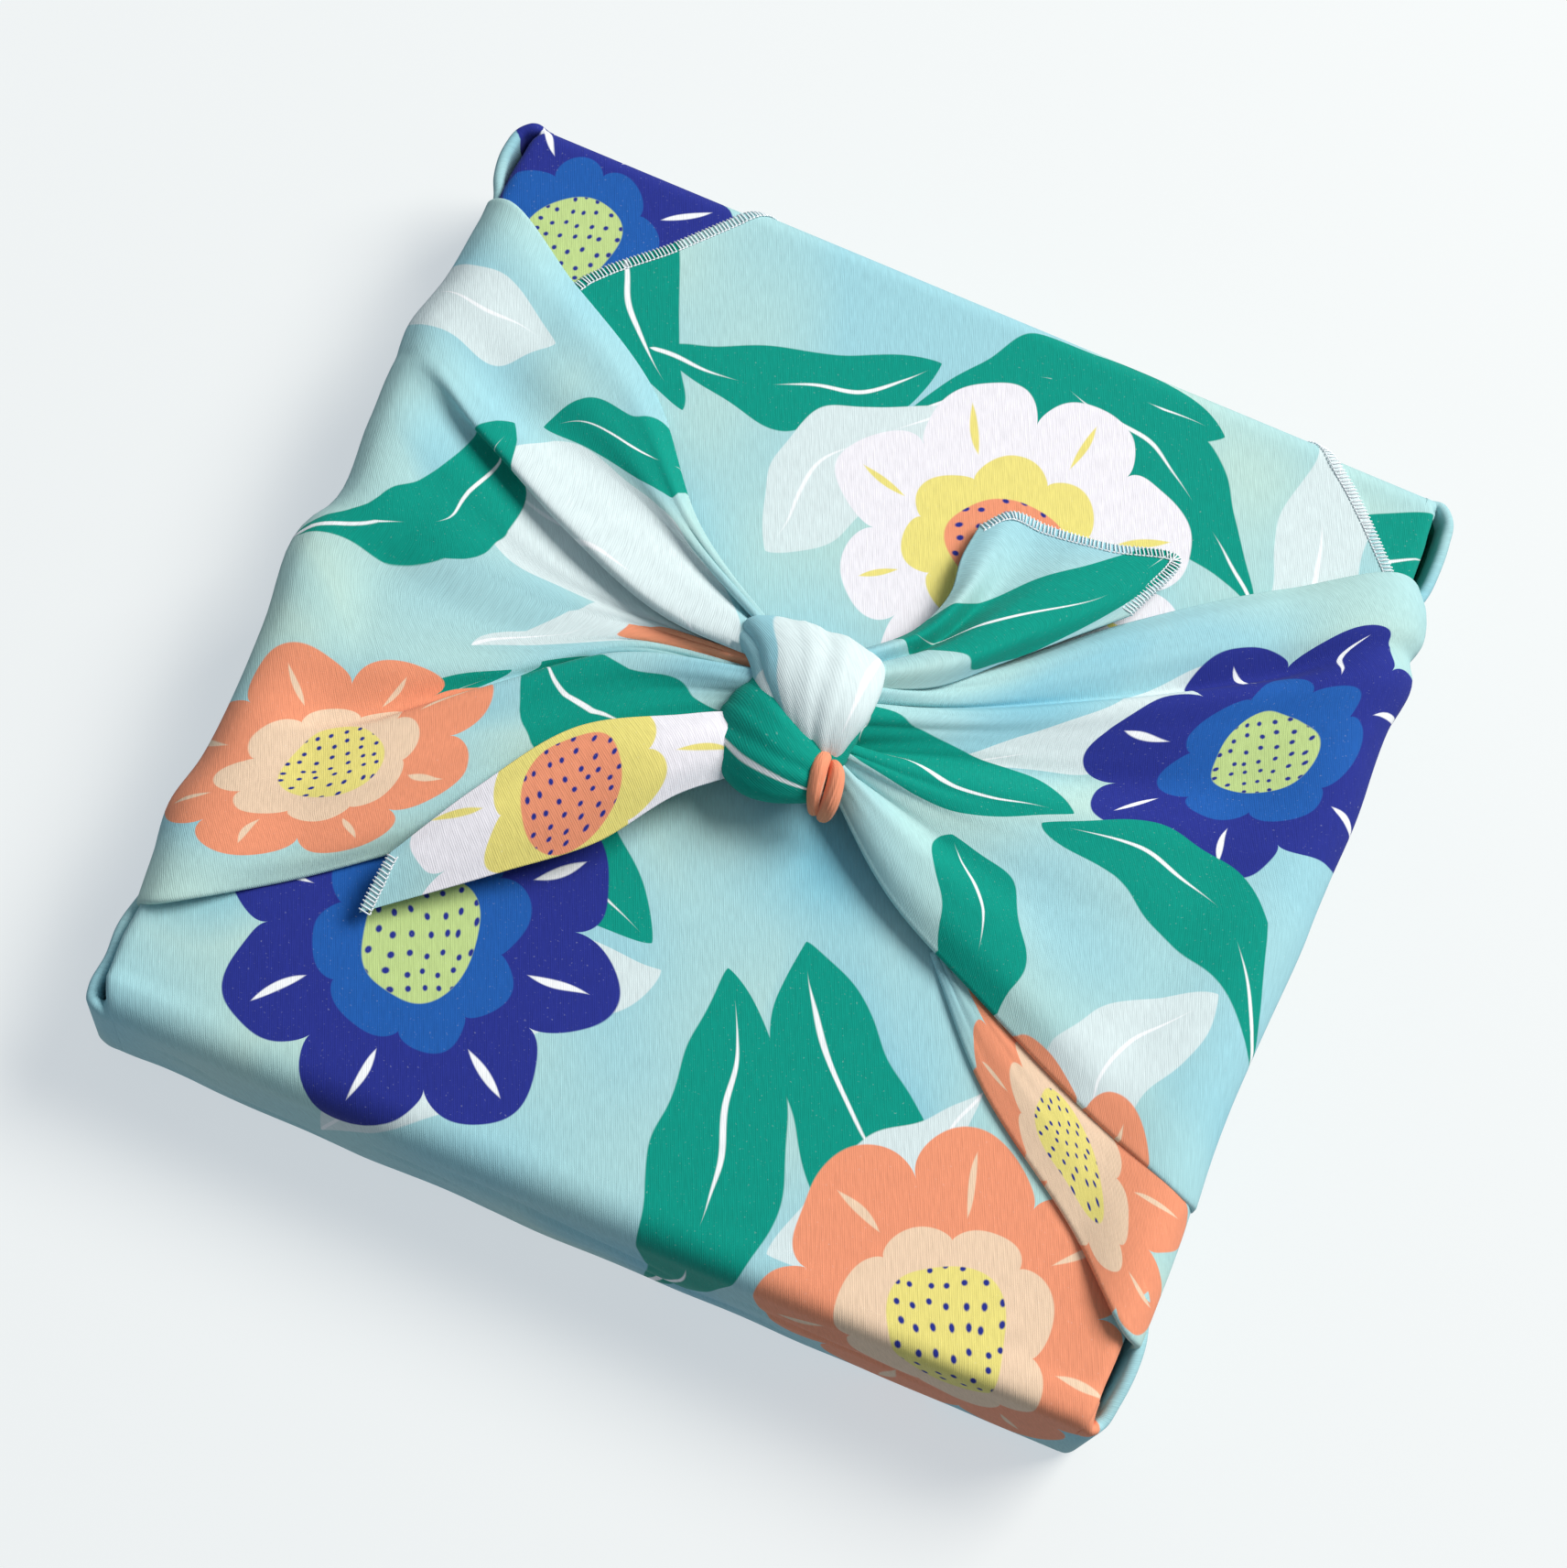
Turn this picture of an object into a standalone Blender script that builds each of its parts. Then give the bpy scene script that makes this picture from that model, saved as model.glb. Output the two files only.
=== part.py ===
"""Furoshiki wrap: a 70 cm square of printed jersey tied round a shallow square box.

The box sits diagonally on the cloth. The far corner of the cloth is folded over the box first, then the near
corner, and the left and right corners are gathered over the top in fans of folds and tied in one knot.
X runs along the near edge, Y away from the viewer and Z up, in metres. The origin is the middle of the
underside. The tables below are in millimetres.
"""

from collections import namedtuple
from math import cos, pi, sin

import bmesh
import bpy
import numpy as np
from mathutils import Vector

MM = 0.001

# Driving sizes, in millimetres
SIDE = 250.0  # the parcel's side, seen from above
HEIGHT = 40.0  # the floor to the top of the upper flap
CLOTH = 1.4  # thickness of one layer
TAIL = 2.4  # thickness of a free end, which is two layers
LAYER = 2.2  # one layer's middle to the next one's
CLEAR = 0.3  # the box to the cloth that it lies on
EDGE_CLEAR = 2.8  # the box's sides to the cloth
BOX_ROUNDING = 3.5  # radius of the box's edges
HALF = SIDE / 2
FOOT = 1.1  # height at which an upright layer ends, in the cloth under the box

# Middles of the cloth's thickness, worked out from the sizes above
UPPER = HEIGHT - CLOTH / 2  # the near flap on the top
LOWER = UPPER - LAYER  # the far flap under it
BOTTOM = CLOTH / 2
NEAR_WALL = -HALF - 1.0
FAR_WALL = HALF - 0.5
SIDE_WALL = HALF - 0.8  # the cloth folded in at the corners, behind the side flaps


def smooth(points, count):
    """Count places, evenly spaced, on the smooth curve through the points."""
    points = np.array(points, float)
    ends = [2 * points[0] - points[1], *points, 2 * points[-1] - points[-2]]
    steps = np.linspace(0, 1, 16, endpoint=False)[:, None]
    curve = []
    for a, b, c, d in zip(ends, ends[1:], ends[2:], ends[3:]):
        start, finish = (c - a) / 2, (d - b) / 2
        cubic = 2 * (b - c) + start + finish
        square = 3 * (c - b) - 2 * start - finish
        curve.extend(((cubic * steps + square) * steps + start) * steps + b)
    curve = np.array([*curve, points[-1]])
    along = np.append(0, np.cumsum(np.linalg.norm(np.diff(curve, axis=0), axis=1)))
    at = np.linspace(0, along[-1], count)
    return np.stack([np.interp(at, along, curve[:, k]) for k in range(3)], axis=1)


def across(rows, steps):
    """A grid of rows, with the spans between the given rows filled smoothly in steps."""
    rows = np.array(rows, float)
    ends = [2 * rows[0] - rows[1], *rows, 2 * rows[-1] - rows[-2]]
    filled = []
    for a, b, c, d in zip(ends, ends[1:], ends[2:], ends[3:]):
        for t in np.arange(steps) / steps:
            start, finish = (c - a) / 2, (d - b) / 2
            cubic = 2 * (b - c) + start + finish
            square = 3 * (c - b) - 2 * start - finish
            filled.append(((cubic * t + square) * t + start) * t + b)
    return np.array([*filled, rows[-1]])


def material(name, colour, roughness):
    made = bpy.data.materials.new(name)
    made.use_nodes = True
    surface = made.node_tree.nodes["Principled BSDF"]
    surface.inputs["Base Color"].default_value = (*colour, 1)
    surface.inputs["Roughness"].default_value = roughness
    return made


def add_object(name, shape, collection, finish):
    mesh = bpy.data.meshes.new(name)
    shape.to_mesh(mesh)
    shape.free()
    mesh.materials.append(finish)
    made = bpy.data.objects.new(name, mesh)
    collection.objects.link(made)
    return made


def sheet(name, grid, thickness, collection, finish):
    """A cloth sheet through a grid of places, solidified about its middle."""
    rows, columns = grid.shape[:2]
    shape = bmesh.new()
    bmesh.ops.create_grid(shape, x_segments=columns - 1, y_segments=rows - 1, size=1)
    for vertex, place in zip(shape.verts, grid.reshape(-1, 3)):
        vertex.co = Vector(place) * MM
    made = add_object(name, shape, collection, finish)
    solid = made.modifiers.new("thickness", "SOLIDIFY")
    solid.thickness = thickness * MM
    solid.offset = 0
    return made


def strand(name, stations, sideways, collection, finish):
    """A closed band with blunt ends. A station is x, y, z, width and depth; its width runs along sideways."""
    count = 13
    table = np.array(stations, float)
    line = smooth(table[:, :3], count)
    known = np.linspace(0, 1, len(table))
    shape = bmesh.new()
    bmesh.ops.create_uvsphere(shape, u_segments=12, v_segments=count - 1, radius=1)
    for vertex in shape.verts:
        t = np.clip((1 - vertex.co.z) / 2, 0, 1)
        blunt = max(0.0, 1 - vertex.co.z**2) ** 0.25
        middle = Vector([np.interp(t * (count - 1), range(count), line[:, k]) for k in range(3)])
        ahead = Vector([np.interp(t * (count - 1) + 0.5, range(count), line[:, k]) for k in range(3)])
        behind = Vector([np.interp(t * (count - 1) - 0.5, range(count), line[:, k]) for k in range(3)])
        way = (ahead - behind).normalized()
        wide = (Vector(sideways) - way * way.dot(Vector(sideways))).normalized()
        deep = wide.cross(way)
        turn = Vector((vertex.co.x, vertex.co.y, 0)).normalized() if vertex.co.xy.length > 1e-6 else Vector()
        width, depth = (np.interp(t, known, table[:, k]) / 2 * blunt for k in (3, 4))
        vertex.co = (middle + wide * turn.x * width + deep * turn.y * depth) * MM
    return add_object(name, shape, collection, finish)


# The body: one strip of cloth that runs round the box as a spiral, from the far flap's tip to the near flap's.
# A corner of its path is y, z and the radius of the turn.
Corner = namedtuple("Corner", "y z radius")
BODY_PATH = [
    Corner(-HALF + 7, LOWER, 0),
    Corner(FAR_WALL, LOWER, 6),
    Corner(FAR_WALL, BOTTOM, 5),
    Corner(NEAR_WALL, BOTTOM, 5),
    Corner(NEAR_WALL, UPPER, 7),
    Corner(FAR_WALL + LAYER, UPPER, 7),
    Corner(FAR_WALL + LAYER, 3, 0),
]
# Where the strip's two edges lie, by the place along it: the flap's tips narrow at 45 degrees, and the
# near flap's hems cross the far edge
Width = namedtuple("Width", "past y left right")
FLAP_WIDTHS = [
    Width("far flap", -118, -86, 86),
    Width("far flap", -80, -123.6, 121.5),
    Width("far flap", 92, -123.6, 123.6),
    Width("far flap", 112, -125, 125),
    Width("near flap", -118, -125, 122),
    Width("near flap", -92, -123.8, 122),
    Width("near flap", 60, -123.8, 123.6),
    Width("near flap", 88, -97, 123.6),
    Width("near flap", 98, -88.5, 121),
    Width("near flap", 127, -64.5, 93),
    Width("near flap", 127 + HEIGHT - 3, -30, 58),
]
WALL_BULGE = 1.4  # how far the near wall swells in its middle
BULGE_SPAN = 275.0


def path_places(corners, reach):
    """The path's places with each turn rounded, and no two further apart than reach."""
    spots = [Vector((c.y, c.z)) for c in corners]
    path = [spots[0]]
    for before, here, after, corner in zip(spots, spots[1:], spots[2:], corners[1:]):
        to_before = (before - here).normalized() * corner.radius
        to_after = (after - here).normalized() * corner.radius
        centre = here + to_before + to_after
        for step in range(5):
            angle = step / 4 * pi / 2
            path.append(centre - to_after * cos(angle) - to_before * sin(angle))
    path.append(spots[-1])
    places = [path[0]]
    for start, finish in zip(path, path[1:]):
        pieces = max(1, round((finish - start).length / reach))
        places.extend(start.lerp(finish, (n + 1) / pieces) for n in range(pieces))
    return places


def body_grid(columns):
    places = path_places(BODY_PATH, 24)
    along = np.append(0, np.cumsum([(b - a).length for a, b in zip(places, places[1:])]))
    near_edge = next(n for n, p in enumerate(places) if p.y > UPPER - 0.01 and n > len(places) // 2)
    known, left, right = [], [], []
    for width in FLAP_WIDTHS:
        if width.past == "far flap":
            known.append(along[0] + width.y - places[0].x)
        else:
            known.append(along[near_edge] + width.y - places[near_edge].x)
        left.append(width.left)
        right.append(width.right)
    grid = []
    for place, distance in zip(places, along):
        low, high = np.interp(distance, known, left), np.interp(distance, known, right)
        row = []
        for share in np.linspace(0, 1, columns):
            x = low + (high - low) * share
            bulge = WALL_BULGE * cos(pi * x / BULGE_SPAN) * sin(pi * np.clip(place.y / HEIGHT, 0, 1))
            outside = -1 if place.x < NEAR_WALL + 1 else 0
            row.append((x, place.x + outside * bulge, place.y))
        grid.append(row)
    return np.array(grid)


# The side flaps: a fold is one line of the cloth from the floor edge, up the wall and over the top to the
# knot. foot is its y on the floor edge, edge the x and y of the parcel's outline, way its places on the top
# as x, y, z, and knot the y and z where it goes into the knot.
Fold = namedtuple("Fold", "foot edge way knot")
LEFT_KNOT_X, RIGHT_KNOT_X = -13.0, 8.0
LEFT_FOLDS = [
    Fold(121, (-127, 101), ((-97.5, 87, 41.4), (-69.6, 69.3, 42), (-44.5, 39.5, 44)), (7.5, 50.5)),
    Fold(116, (-127, 94), ((-97, 81, 43.4), (-71, 64, 44.2), (-46, 38.4, 46.3)), (6.8, 52)),
    Fold(95, (-128, 77), ((-97, 66, 43.6), (-72, 54, 44.8), (-46, 35.6, 46.8)), (6.2, 52.6)),
    Fold(70, (-131, 60), ((-97, 48.4, 42), (-66, 41.7, 43), (-40, 30.4, 45.6)), (5.6, 52.8)),
    Fold(64, (-130.5, 55.5), ((-99, 43.5, 44.6), (-68, 31, 46), (-42, 21.5, 48.6)), (4.9, 53)),
    Fold(60, (-130, 52.5), ((-100, 38.4, 45.5), (-72, 24, 47.8), (-42, 12.6, 50.8)), (4.2, 53.3)),
    Fold(58, (-130, 49.5), ((-100, 39.4, 42.2), (-72, 25.8, 42.8), (-42, 15, 45)), (3.8, 53.2)),
    Fold(44, (-129, 34), ((-105, 27, 42.8), (-72, 14.5, 43.6), (-42, 12, 45.4)), (3.4, 53)),
    Fold(10, (-128.5, 9), ((-105, 6.5, 44.2), (-72, 4.5, 45), (-42, 8.9, 46.2)), (3, 53)),
    Fold(6, (-130.8, 5), ((-106, -1.5, 42.9), (-74, -4, 44.6), (-43, 6.8, 46.2)), (2.6, 53)),
    Fold(-22, (-129.5, -26), ((-102, -26, 44.6), (-75, -15, 44.6), (-45, 4.2, 45.8)), (2.2, 53)),
    Fold(-44, (-128.4, -46), ((-104, -43.5, 43.4), (-76, -21.5, 43.3), (-47, 1.6, 45)), (1.8, 53)),
    Fold(-50, (-128.3, -51), ((-104, -46.8, 45), (-76, -24.5, 48), (-47, -1.8, 50.8)), (1, 53.3)),
    Fold(-62, (-128.5, -62), ((-100, -55, 46.2), (-70, -29, 48.4), (-38, -4, 50.4)), (-1, 52.8)),
    Fold(-82, (-130.6, -75), ((-98, -66, 45.2), (-66, -38, 48), (-36, -11, 50.4)), (-4, 52.2)),
    Fold(-108, (-128.2, -90), ((-96, -76.5, 43.8), (-66, -50, 46), (-36, -22.5, 48.4)), (-8.5, 51)),
    Fold(-119, (-127, -99), ((-100, -83.3, 41.4), (-72, -60.5, 42.4), (-40, -33, 45)), (-12.5, 49.5)),
]
RIGHT_FOLDS = [
    Fold(120, (126.5, 101), ((95, 85.2, 41.5), (62, 59.7, 42.8), (34, 34, 45)), (14.5, 50)),
    Fold(115, (129.5, 97), ((95, 80.4, 44.4), (60, 53, 46), (32, 28.5, 48.2)), (12, 51.6)),
    Fold(98, (131.8, 88), ((95, 69.5, 45.8), (60, 44.8, 47.2), (32, 24, 49.2)), (9, 52.6)),
    Fold(80, (130.4, 82), ((100, 61.2, 43), (62, 37.4, 44.2), (34, 21.6, 47.2)), (6, 52.8)),
    Fold(77, (132.5, 77.5), ((100, 59, 46.3), (62, 35, 48.4), (34, 18.6, 50.8)), (4.4, 53.3)),
    Fold(60, (131, 63), ((98, 46, 45.8), (62, 27.4, 47.6), (34, 14.2, 50.2)), (3, 53.3)),
    Fold(36, (131.2, 36), ((98, 27.8, 42.9), (62, 15.4, 44.4), (34, 7.6, 47.6)), (1, 52.8)),
    Fold(20, (130.2, 20), ((98, 16, 45.3), (62, 6.9, 47.8), (34, 0.2, 50.2)), (-0.8, 53.1)),
    Fold(-4, (129.6, 2), ((98, -2.2, 45.7), (62, -4.3, 47.6), (34, -5.8, 49.8)), (-2.8, 52.9)),
    Fold(-26, (127.6, -26), ((98, -26.4, 45), (62, -18.8, 45.8), (34, -12.3, 47.4)), (-5, 52.3)),
    Fold(-40, (126.8, -43), ((98, -39, 45.2), (62, -27, 47.4), (34, -17.2, 49.6)), (-7.4, 52.2)),
    Fold(-52, (126.8, -58), ((98, -52.4, 45), (62, -37.2, 46.8), (34, -25.2, 48.6)), (-9.8, 51.4)),
    Fold(-58, (127.2, -68), ((98, -59, 43.5), (62, -42.8, 44.2), (34, -29.2, 46)), (-12.2, 50.2)),
]
# The fold that shows below the right flap's lower edge ends under that edge, and not in the knot
UNDER_END_X = 42.0
UNDER_FOLDS = [
    Fold(-50, (126.2, -59), ((98, -52.5, 41.3), (70, -40.5, 41.4)), (-30, 42)),
    Fold(-88, (126.6, -84), ((100, -70.5, 42.6), (72, -52.5, 42.6)), (-33.5, 42.6)),
    Fold(-119, (126.2, -103), ((102, -84.5, 41.3), (70, -61.5, 41.4)), (-36.5, 42)),
]


# How a side flap climbs the wall, from under the box to the shoulder: out is millimetres past the box's
# half width, lean the share of the outline's own bulge, turn the share of the way from the foot's y to the
# edge's, and height the height above the floor
Climb = namedtuple("Climb", "out lean turn height")
FLAP_CLIMB = [
    Climb(-8, 0, 0, 0.95),
    Climb(-1.5, 0, 0, 0.95),
    Climb(1.4, 0, 0, 2.6),
    Climb(1, 0.5, 0.2, 9),
    Climb(0, 1, 0.65, 24),
    Climb(0, 1, 1, 35.5),
    Climb(-0.3, 1, 1, 38.4),
    Climb(-2.4, 1, 1, 41.2),
]
SHOULDER = 2  # how many of these belong to the curve over the top


def flap_grid(folds, knot_x, columns, steps):
    """The grid of a side flap: up the wall in fixed places, then evenly over the top to the knot."""
    side = 1 if folds[0].edge[0] > 0 else -1
    rows = []
    for fold in folds:
        edge_x, edge_y = fold.edge
        bulge = side * edge_x - CLOTH / 2 - HALF
        climb = [
            (side * (HALF + at.out + bulge * at.lean), fold.foot + (edge_y - fold.foot) * at.turn, at.height)
            for at in FLAP_CLIMB
        ]
        top = [*climb[-SHOULDER:], *fold.way, (knot_x, *fold.knot)]
        rows.append([*climb[:-SHOULDER], *smooth(top, columns)])
    return across(rows, steps)


# The corner folds: each is a strip that stands off the body round a vertical corner, leaving a narrow open
# pocket, and curls under at its foot. A station is x, y and the height of the strip's top edge.
CORNER_FOLDS = {
    "far left": [
        (-108, 124.8, 22), (-119, 125.4, 27), (-125.8, 124, 32), (-128.2, 118, 35), (-128.2, 108, 37), (-126.6, 97, 37.6)
    ],
    "far right": [
        (110, 124.8, 22), (119, 125.4, 27), (126.2, 124, 32), (129.2, 118, 35), (129.2, 108, 37), (126.2, 96, 37.6)
    ],
    "near left": [
        (-106, -126.9, 24), (-118, -127.2, 29), (-125, -125.4, 33), (-128.3, -118, 36), (-128.4, -108, 37.4),
        (-126.8, -95, 37.6),
    ],
    "near right": [
        (102, -126.9, 24), (114, -127.2, 29), (121.4, -125.4, 33), (125.6, -118, 36), (126.4, -110, 37.4),
        (125.8, -98, 37.6),
    ],
}
# The strip's own section below its top edge: a height, and how far in it lies
CORNER_CURL = [(14, 0), (6.5, 0.6), (2.6, 2.2), (FOOT, 4)]


def corner_grid(stations, columns):
    tops = smooth(stations, columns)
    rows = [tops]
    for height, inset in CORNER_CURL:
        scale = 1 - inset / HALF
        rows.append(np.array([(x * scale, y * scale, height) for x, y, _ in tops]))
    return np.array(rows)


# The cloth is folded in at the corners and closes the body there: each tuck is an upright strip behind the
# corner's pocket. A place is the distance from the middle, and the distance in from the wall it starts in.
TUCK_PATH = [(117, 0.4), (121.4, 0.8), (123.6, 2.6), (SIDE_WALL, 6), (SIDE_WALL, 24), (SIDE_WALL, 42)]


def tuck_grid(side, wall, top):
    """The strip at one corner: side is the sign of x, and wall the y of the wall that it starts in."""
    inward = 1 if wall < 0 else -1
    places = smooth([(side * x, wall + inward * depth, 0) for x, depth in TUCK_PATH], 8)
    return np.array([[(x, y, z) for x, y, _ in places] for z in (top, top / 2, FOOT)])


# The free ends: each row is one line of the cloth from the knot to the hem, as x, y, z
UPPER_TAIL = [
    [(4, 14, 53), (17, 34.4, 48.5), (19, 47.4, 46.4), (18, 58, 44.8), (19, 68.6, 43)],
    [(4.5, 13, 55.5), (19.5, 35.7, 50.4), (23, 49.4, 48.6), (23.5, 61, 46.8), (25, 75, 44)],
    [(5, 12, 55), (21.6, 34.6, 47.4), (27.5, 48, 45.2), (31, 61.5, 43.8), (34, 75.8, 42.8)],
    [(5.5, 11, 56.5), (24, 31.8, 50.8), (34, 47.5, 48.6), (42, 62, 46.6), (50, 77, 44.4)],
    [(6, 10, 56), (24, 26.4, 52), (38, 42.3, 49.4), (53, 60, 47.2), (67, 81.3, 44)],
    [(6, 9, 54), (21, 19.6, 53), (34, 34.4, 50.2), (48, 48, 48.4), (61, 60.7, 46.4)],
]
LOWER_TAIL = [
    [(-10, -6, 57), (-29, -12.1, 55.4), (-48.8, -23.2, 53), (-64.8, -46.2, 51), (-76.6, -68, 47.4), (-77.4, -80, 45.4)],
    [(-9, -10, 59), (-27, -18, 57.6), (-46, -32, 55), (-62, -52, 52), (-74, -72, 48.2), (-77.5, -81, 45.2)],
    [(-9, -14, 58), (-25, -25, 56), (-41, -41, 53), (-57, -57, 50), (-71, -74, 47), (-77.6, -82, 44.8)],
    [(-10, -17, 55), (-21.3, -28.1, 52.4), (-34.5, -46.5, 49), (-52.4, -61.8, 46.6), (-68, -75.5, 45), (-77.8, -83, 44.4)],
]
# The knot's bands: each station is x, y, z, width and depth
KNOT_BANDS = {
    "core": ([(-17, 1, 52, 18, 14), (-8, 1, 54, 30, 20), (2, 0, 54, 30, 20), (12, -1, 52, 22, 14)], (0, 1, 0)),
    "over band": (
        [(-9, 22, 46, 22, 7), (-8, 19, 58, 34, 8), (-5, 9, 64, 36, 8), (0, 0, 63, 28, 8), (6, -6, 57, 14, 7), (8, -9, 51, 8, 6)],
        (1, 0.1, 0),
    ),
    "lower loop": (
        [(-17, -8, 50, 12, 7), (-12, -11, 57, 18, 8), (-3, -12, 59, 19, 8), (6, -12, 57, 17, 8), (11, -11, 50, 10, 7)],
        (0, 1, 0.45),
    ),
    "small fold": ([(5, -5, 58, 5, 5), (9, -11, 58, 6, 6), (12.5, -17, 52, 5, 5)], (1, 0.5, 0)),
}


def shells(shape):
    """The closed shells of a shape, as lists of faces."""
    left = set(shape.faces)
    found = []
    while left:
        todo = [left.pop()]
        members = []
        while todo:
            face = todo.pop()
            members.append(face)
            for edge in face.edges:
                for other in edge.link_faces:
                    if other in left:
                        left.remove(other)
                        todo.append(other)
        found.append(members)
    return found


def join_all(target, pieces):
    """Joins the pieces to the target, and drops the small sealed gaps that the layers leave between them."""
    for piece in pieces:
        piece.hide_render = True
        piece.display_type = "WIRE"
        union = target.modifiers.new(f"join {piece.name}", "BOOLEAN")
        union.operation = "UNION"
        union.solver = "MANIFOLD"
        union.object = piece
    joined = bpy.data.meshes.new_from_object(target.evaluated_get(bpy.context.evaluated_depsgraph_get()))
    target.modifiers.clear()
    target.data = joined
    shape = bmesh.new()
    shape.from_mesh(joined)
    for members in sorted(shells(shape), key=len)[:-1]:
        bmesh.ops.delete(shape, geom=members, context="FACES")
    shape.to_mesh(joined)
    shape.free()


def make_wrap(collection, pieces):
    cloth = material("printed jersey", (0.42, 0.65, 0.70), 0.85)
    body = sheet("wrap", body_grid(9), CLOTH, collection, cloth)
    parts = [
        sheet("left flap", flap_grid(LEFT_FOLDS, LEFT_KNOT_X, 12, 1), CLOTH, pieces, cloth),
        sheet("right flap", flap_grid(RIGHT_FOLDS, RIGHT_KNOT_X, 12, 1), CLOTH, pieces, cloth),
        sheet("under fold", flap_grid(UNDER_FOLDS, UNDER_END_X, 8, 2), CLOTH, pieces, cloth),
        sheet("upper tail", across([smooth(row, 10) for row in UPPER_TAIL], 2), TAIL, pieces, cloth),
        sheet("lower tail", across([smooth(row, 11) for row in LOWER_TAIL], 2), TAIL, pieces, cloth),
    ]
    for name, stations in CORNER_FOLDS.items():
        parts.append(sheet(f"corner {name}", corner_grid(stations, 9), CLOTH, pieces, cloth))
    for side in (-1, 1):
        for wall, top in ((NEAR_WALL, UPPER), (FAR_WALL, LOWER)):
            parts.append(sheet(f"tuck {side} {top:.0f}", tuck_grid(side, wall, top), CLOTH, pieces, cloth))
    for name, (stations, sideways) in KNOT_BANDS.items():
        parts.append(strand(name, stations, sideways, pieces, cloth))
    join_all(body, parts)


def make_carton(collection):
    """The plain closed box that the cloth fits over."""
    board = material("carton board", (0.62, 0.50, 0.36), 0.9)
    half_width = SIDE_WALL - CLOTH / 2 - EDGE_CLEAR
    low = Vector((-half_width, NEAR_WALL + CLOTH / 2 + EDGE_CLEAR, CLOTH + CLEAR))
    high = Vector((half_width, FAR_WALL - CLOTH / 2 - EDGE_CLEAR, LOWER - CLOTH / 2 - CLEAR))
    shape = bmesh.new()
    bmesh.ops.create_cube(shape, size=1)
    for vertex in shape.verts:
        share = vertex.co + Vector((0.5, 0.5, 0.5))
        vertex.co = Vector([low[k] + (high[k] - low[k]) * share[k] for k in range(3)]) * MM
    made = add_object("carton", shape, collection, board)
    rounding = made.modifiers.new("board edges", "BEVEL")
    rounding.width = BOX_ROUNDING * MM
    rounding.segments = 3
    return made


def main():
    for item in list(bpy.data.objects):
        bpy.data.objects.remove(item, do_unlink=True)
    parcel = bpy.data.collections.new("furoshiki wrap")
    pieces = bpy.data.collections.new("pieces to join")
    for collection in (parcel, pieces):
        bpy.context.scene.collection.children.link(collection)
    make_wrap(parcel, pieces)
    make_carton(parcel)


main()
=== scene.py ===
"""Looks of the furoshiki wrap: a 70 cm square of printed jersey tied round a shallow square box.

Each section is one piece of the cloth, in the order in which the parcel is wrapped. The tables are in
millimetres, in the model's own frame: X along the near edge, Y away from the viewer and Z up.
"""

from collections import namedtuple
from math import cos, exp, pi, radians, sin

import bpy
import numpy as np
from mathutils import Matrix, Vector, noise


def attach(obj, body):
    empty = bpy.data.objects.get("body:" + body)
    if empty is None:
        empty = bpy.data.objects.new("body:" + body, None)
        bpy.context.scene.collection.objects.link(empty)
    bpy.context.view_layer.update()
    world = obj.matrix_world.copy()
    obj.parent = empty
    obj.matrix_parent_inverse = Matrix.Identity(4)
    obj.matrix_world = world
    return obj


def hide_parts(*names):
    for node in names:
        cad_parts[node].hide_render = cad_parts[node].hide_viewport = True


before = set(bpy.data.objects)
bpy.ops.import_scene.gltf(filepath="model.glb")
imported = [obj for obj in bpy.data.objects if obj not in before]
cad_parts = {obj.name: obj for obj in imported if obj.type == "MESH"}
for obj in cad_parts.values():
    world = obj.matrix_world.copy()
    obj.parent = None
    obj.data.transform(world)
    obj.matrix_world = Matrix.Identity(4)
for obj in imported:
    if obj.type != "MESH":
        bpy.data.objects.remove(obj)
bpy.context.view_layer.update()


# The camera, the light and the floor
# The camera looks down on the parcel from its near side, turned a little on its own axis. One large soft
# light stands beyond the far right corner, and the parcel lies on a plain pale floor.
EYE = Vector((0.02197, -0.27649, 0.77949))
AIM = Vector((-0.00076, -0.00489, 0.02))
ROLL = radians(18.38)
camera = bpy.data.objects.new("camera", bpy.data.cameras.new("camera"))
bpy.context.scene.collection.objects.link(camera)
camera.data.lens = 75.66
camera.data.clip_start = 0.01
facing = (AIM - EYE).to_track_quat("-Z", "Y").to_matrix()
camera.matrix_world = Matrix.Translation(EYE) @ (facing @ Matrix.Rotation(ROLL, 3, "Z")).to_4x4()
bpy.context.scene.camera = camera

room = bpy.data.worlds.new("studio")
bpy.context.scene.world = room
room.use_nodes = True
sky = room.node_tree.nodes["Background"]
sky.inputs["Color"].default_value = (0.80, 0.91, 1.0, 1)
sky.inputs["Strength"].default_value = 0.31
bpy.context.scene.view_settings.view_transform = "Standard"


def softbox(name, place, size, power, tint):
    """A square studio light that faces the parcel."""
    light = bpy.data.lights.new(name, "AREA")
    light.color = tint
    light.size = size
    light.energy = power
    box = bpy.data.objects.new(name, light)
    box.location = place
    box.rotation_euler = (AIM - box.location).to_track_quat("-Z", "Y").to_euler()
    bpy.context.scene.collection.objects.link(box)


softbox("window", (1.5, 1.8, 2.6), 1.8, 142.0, (1.0, 0.98, 0.95))

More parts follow.
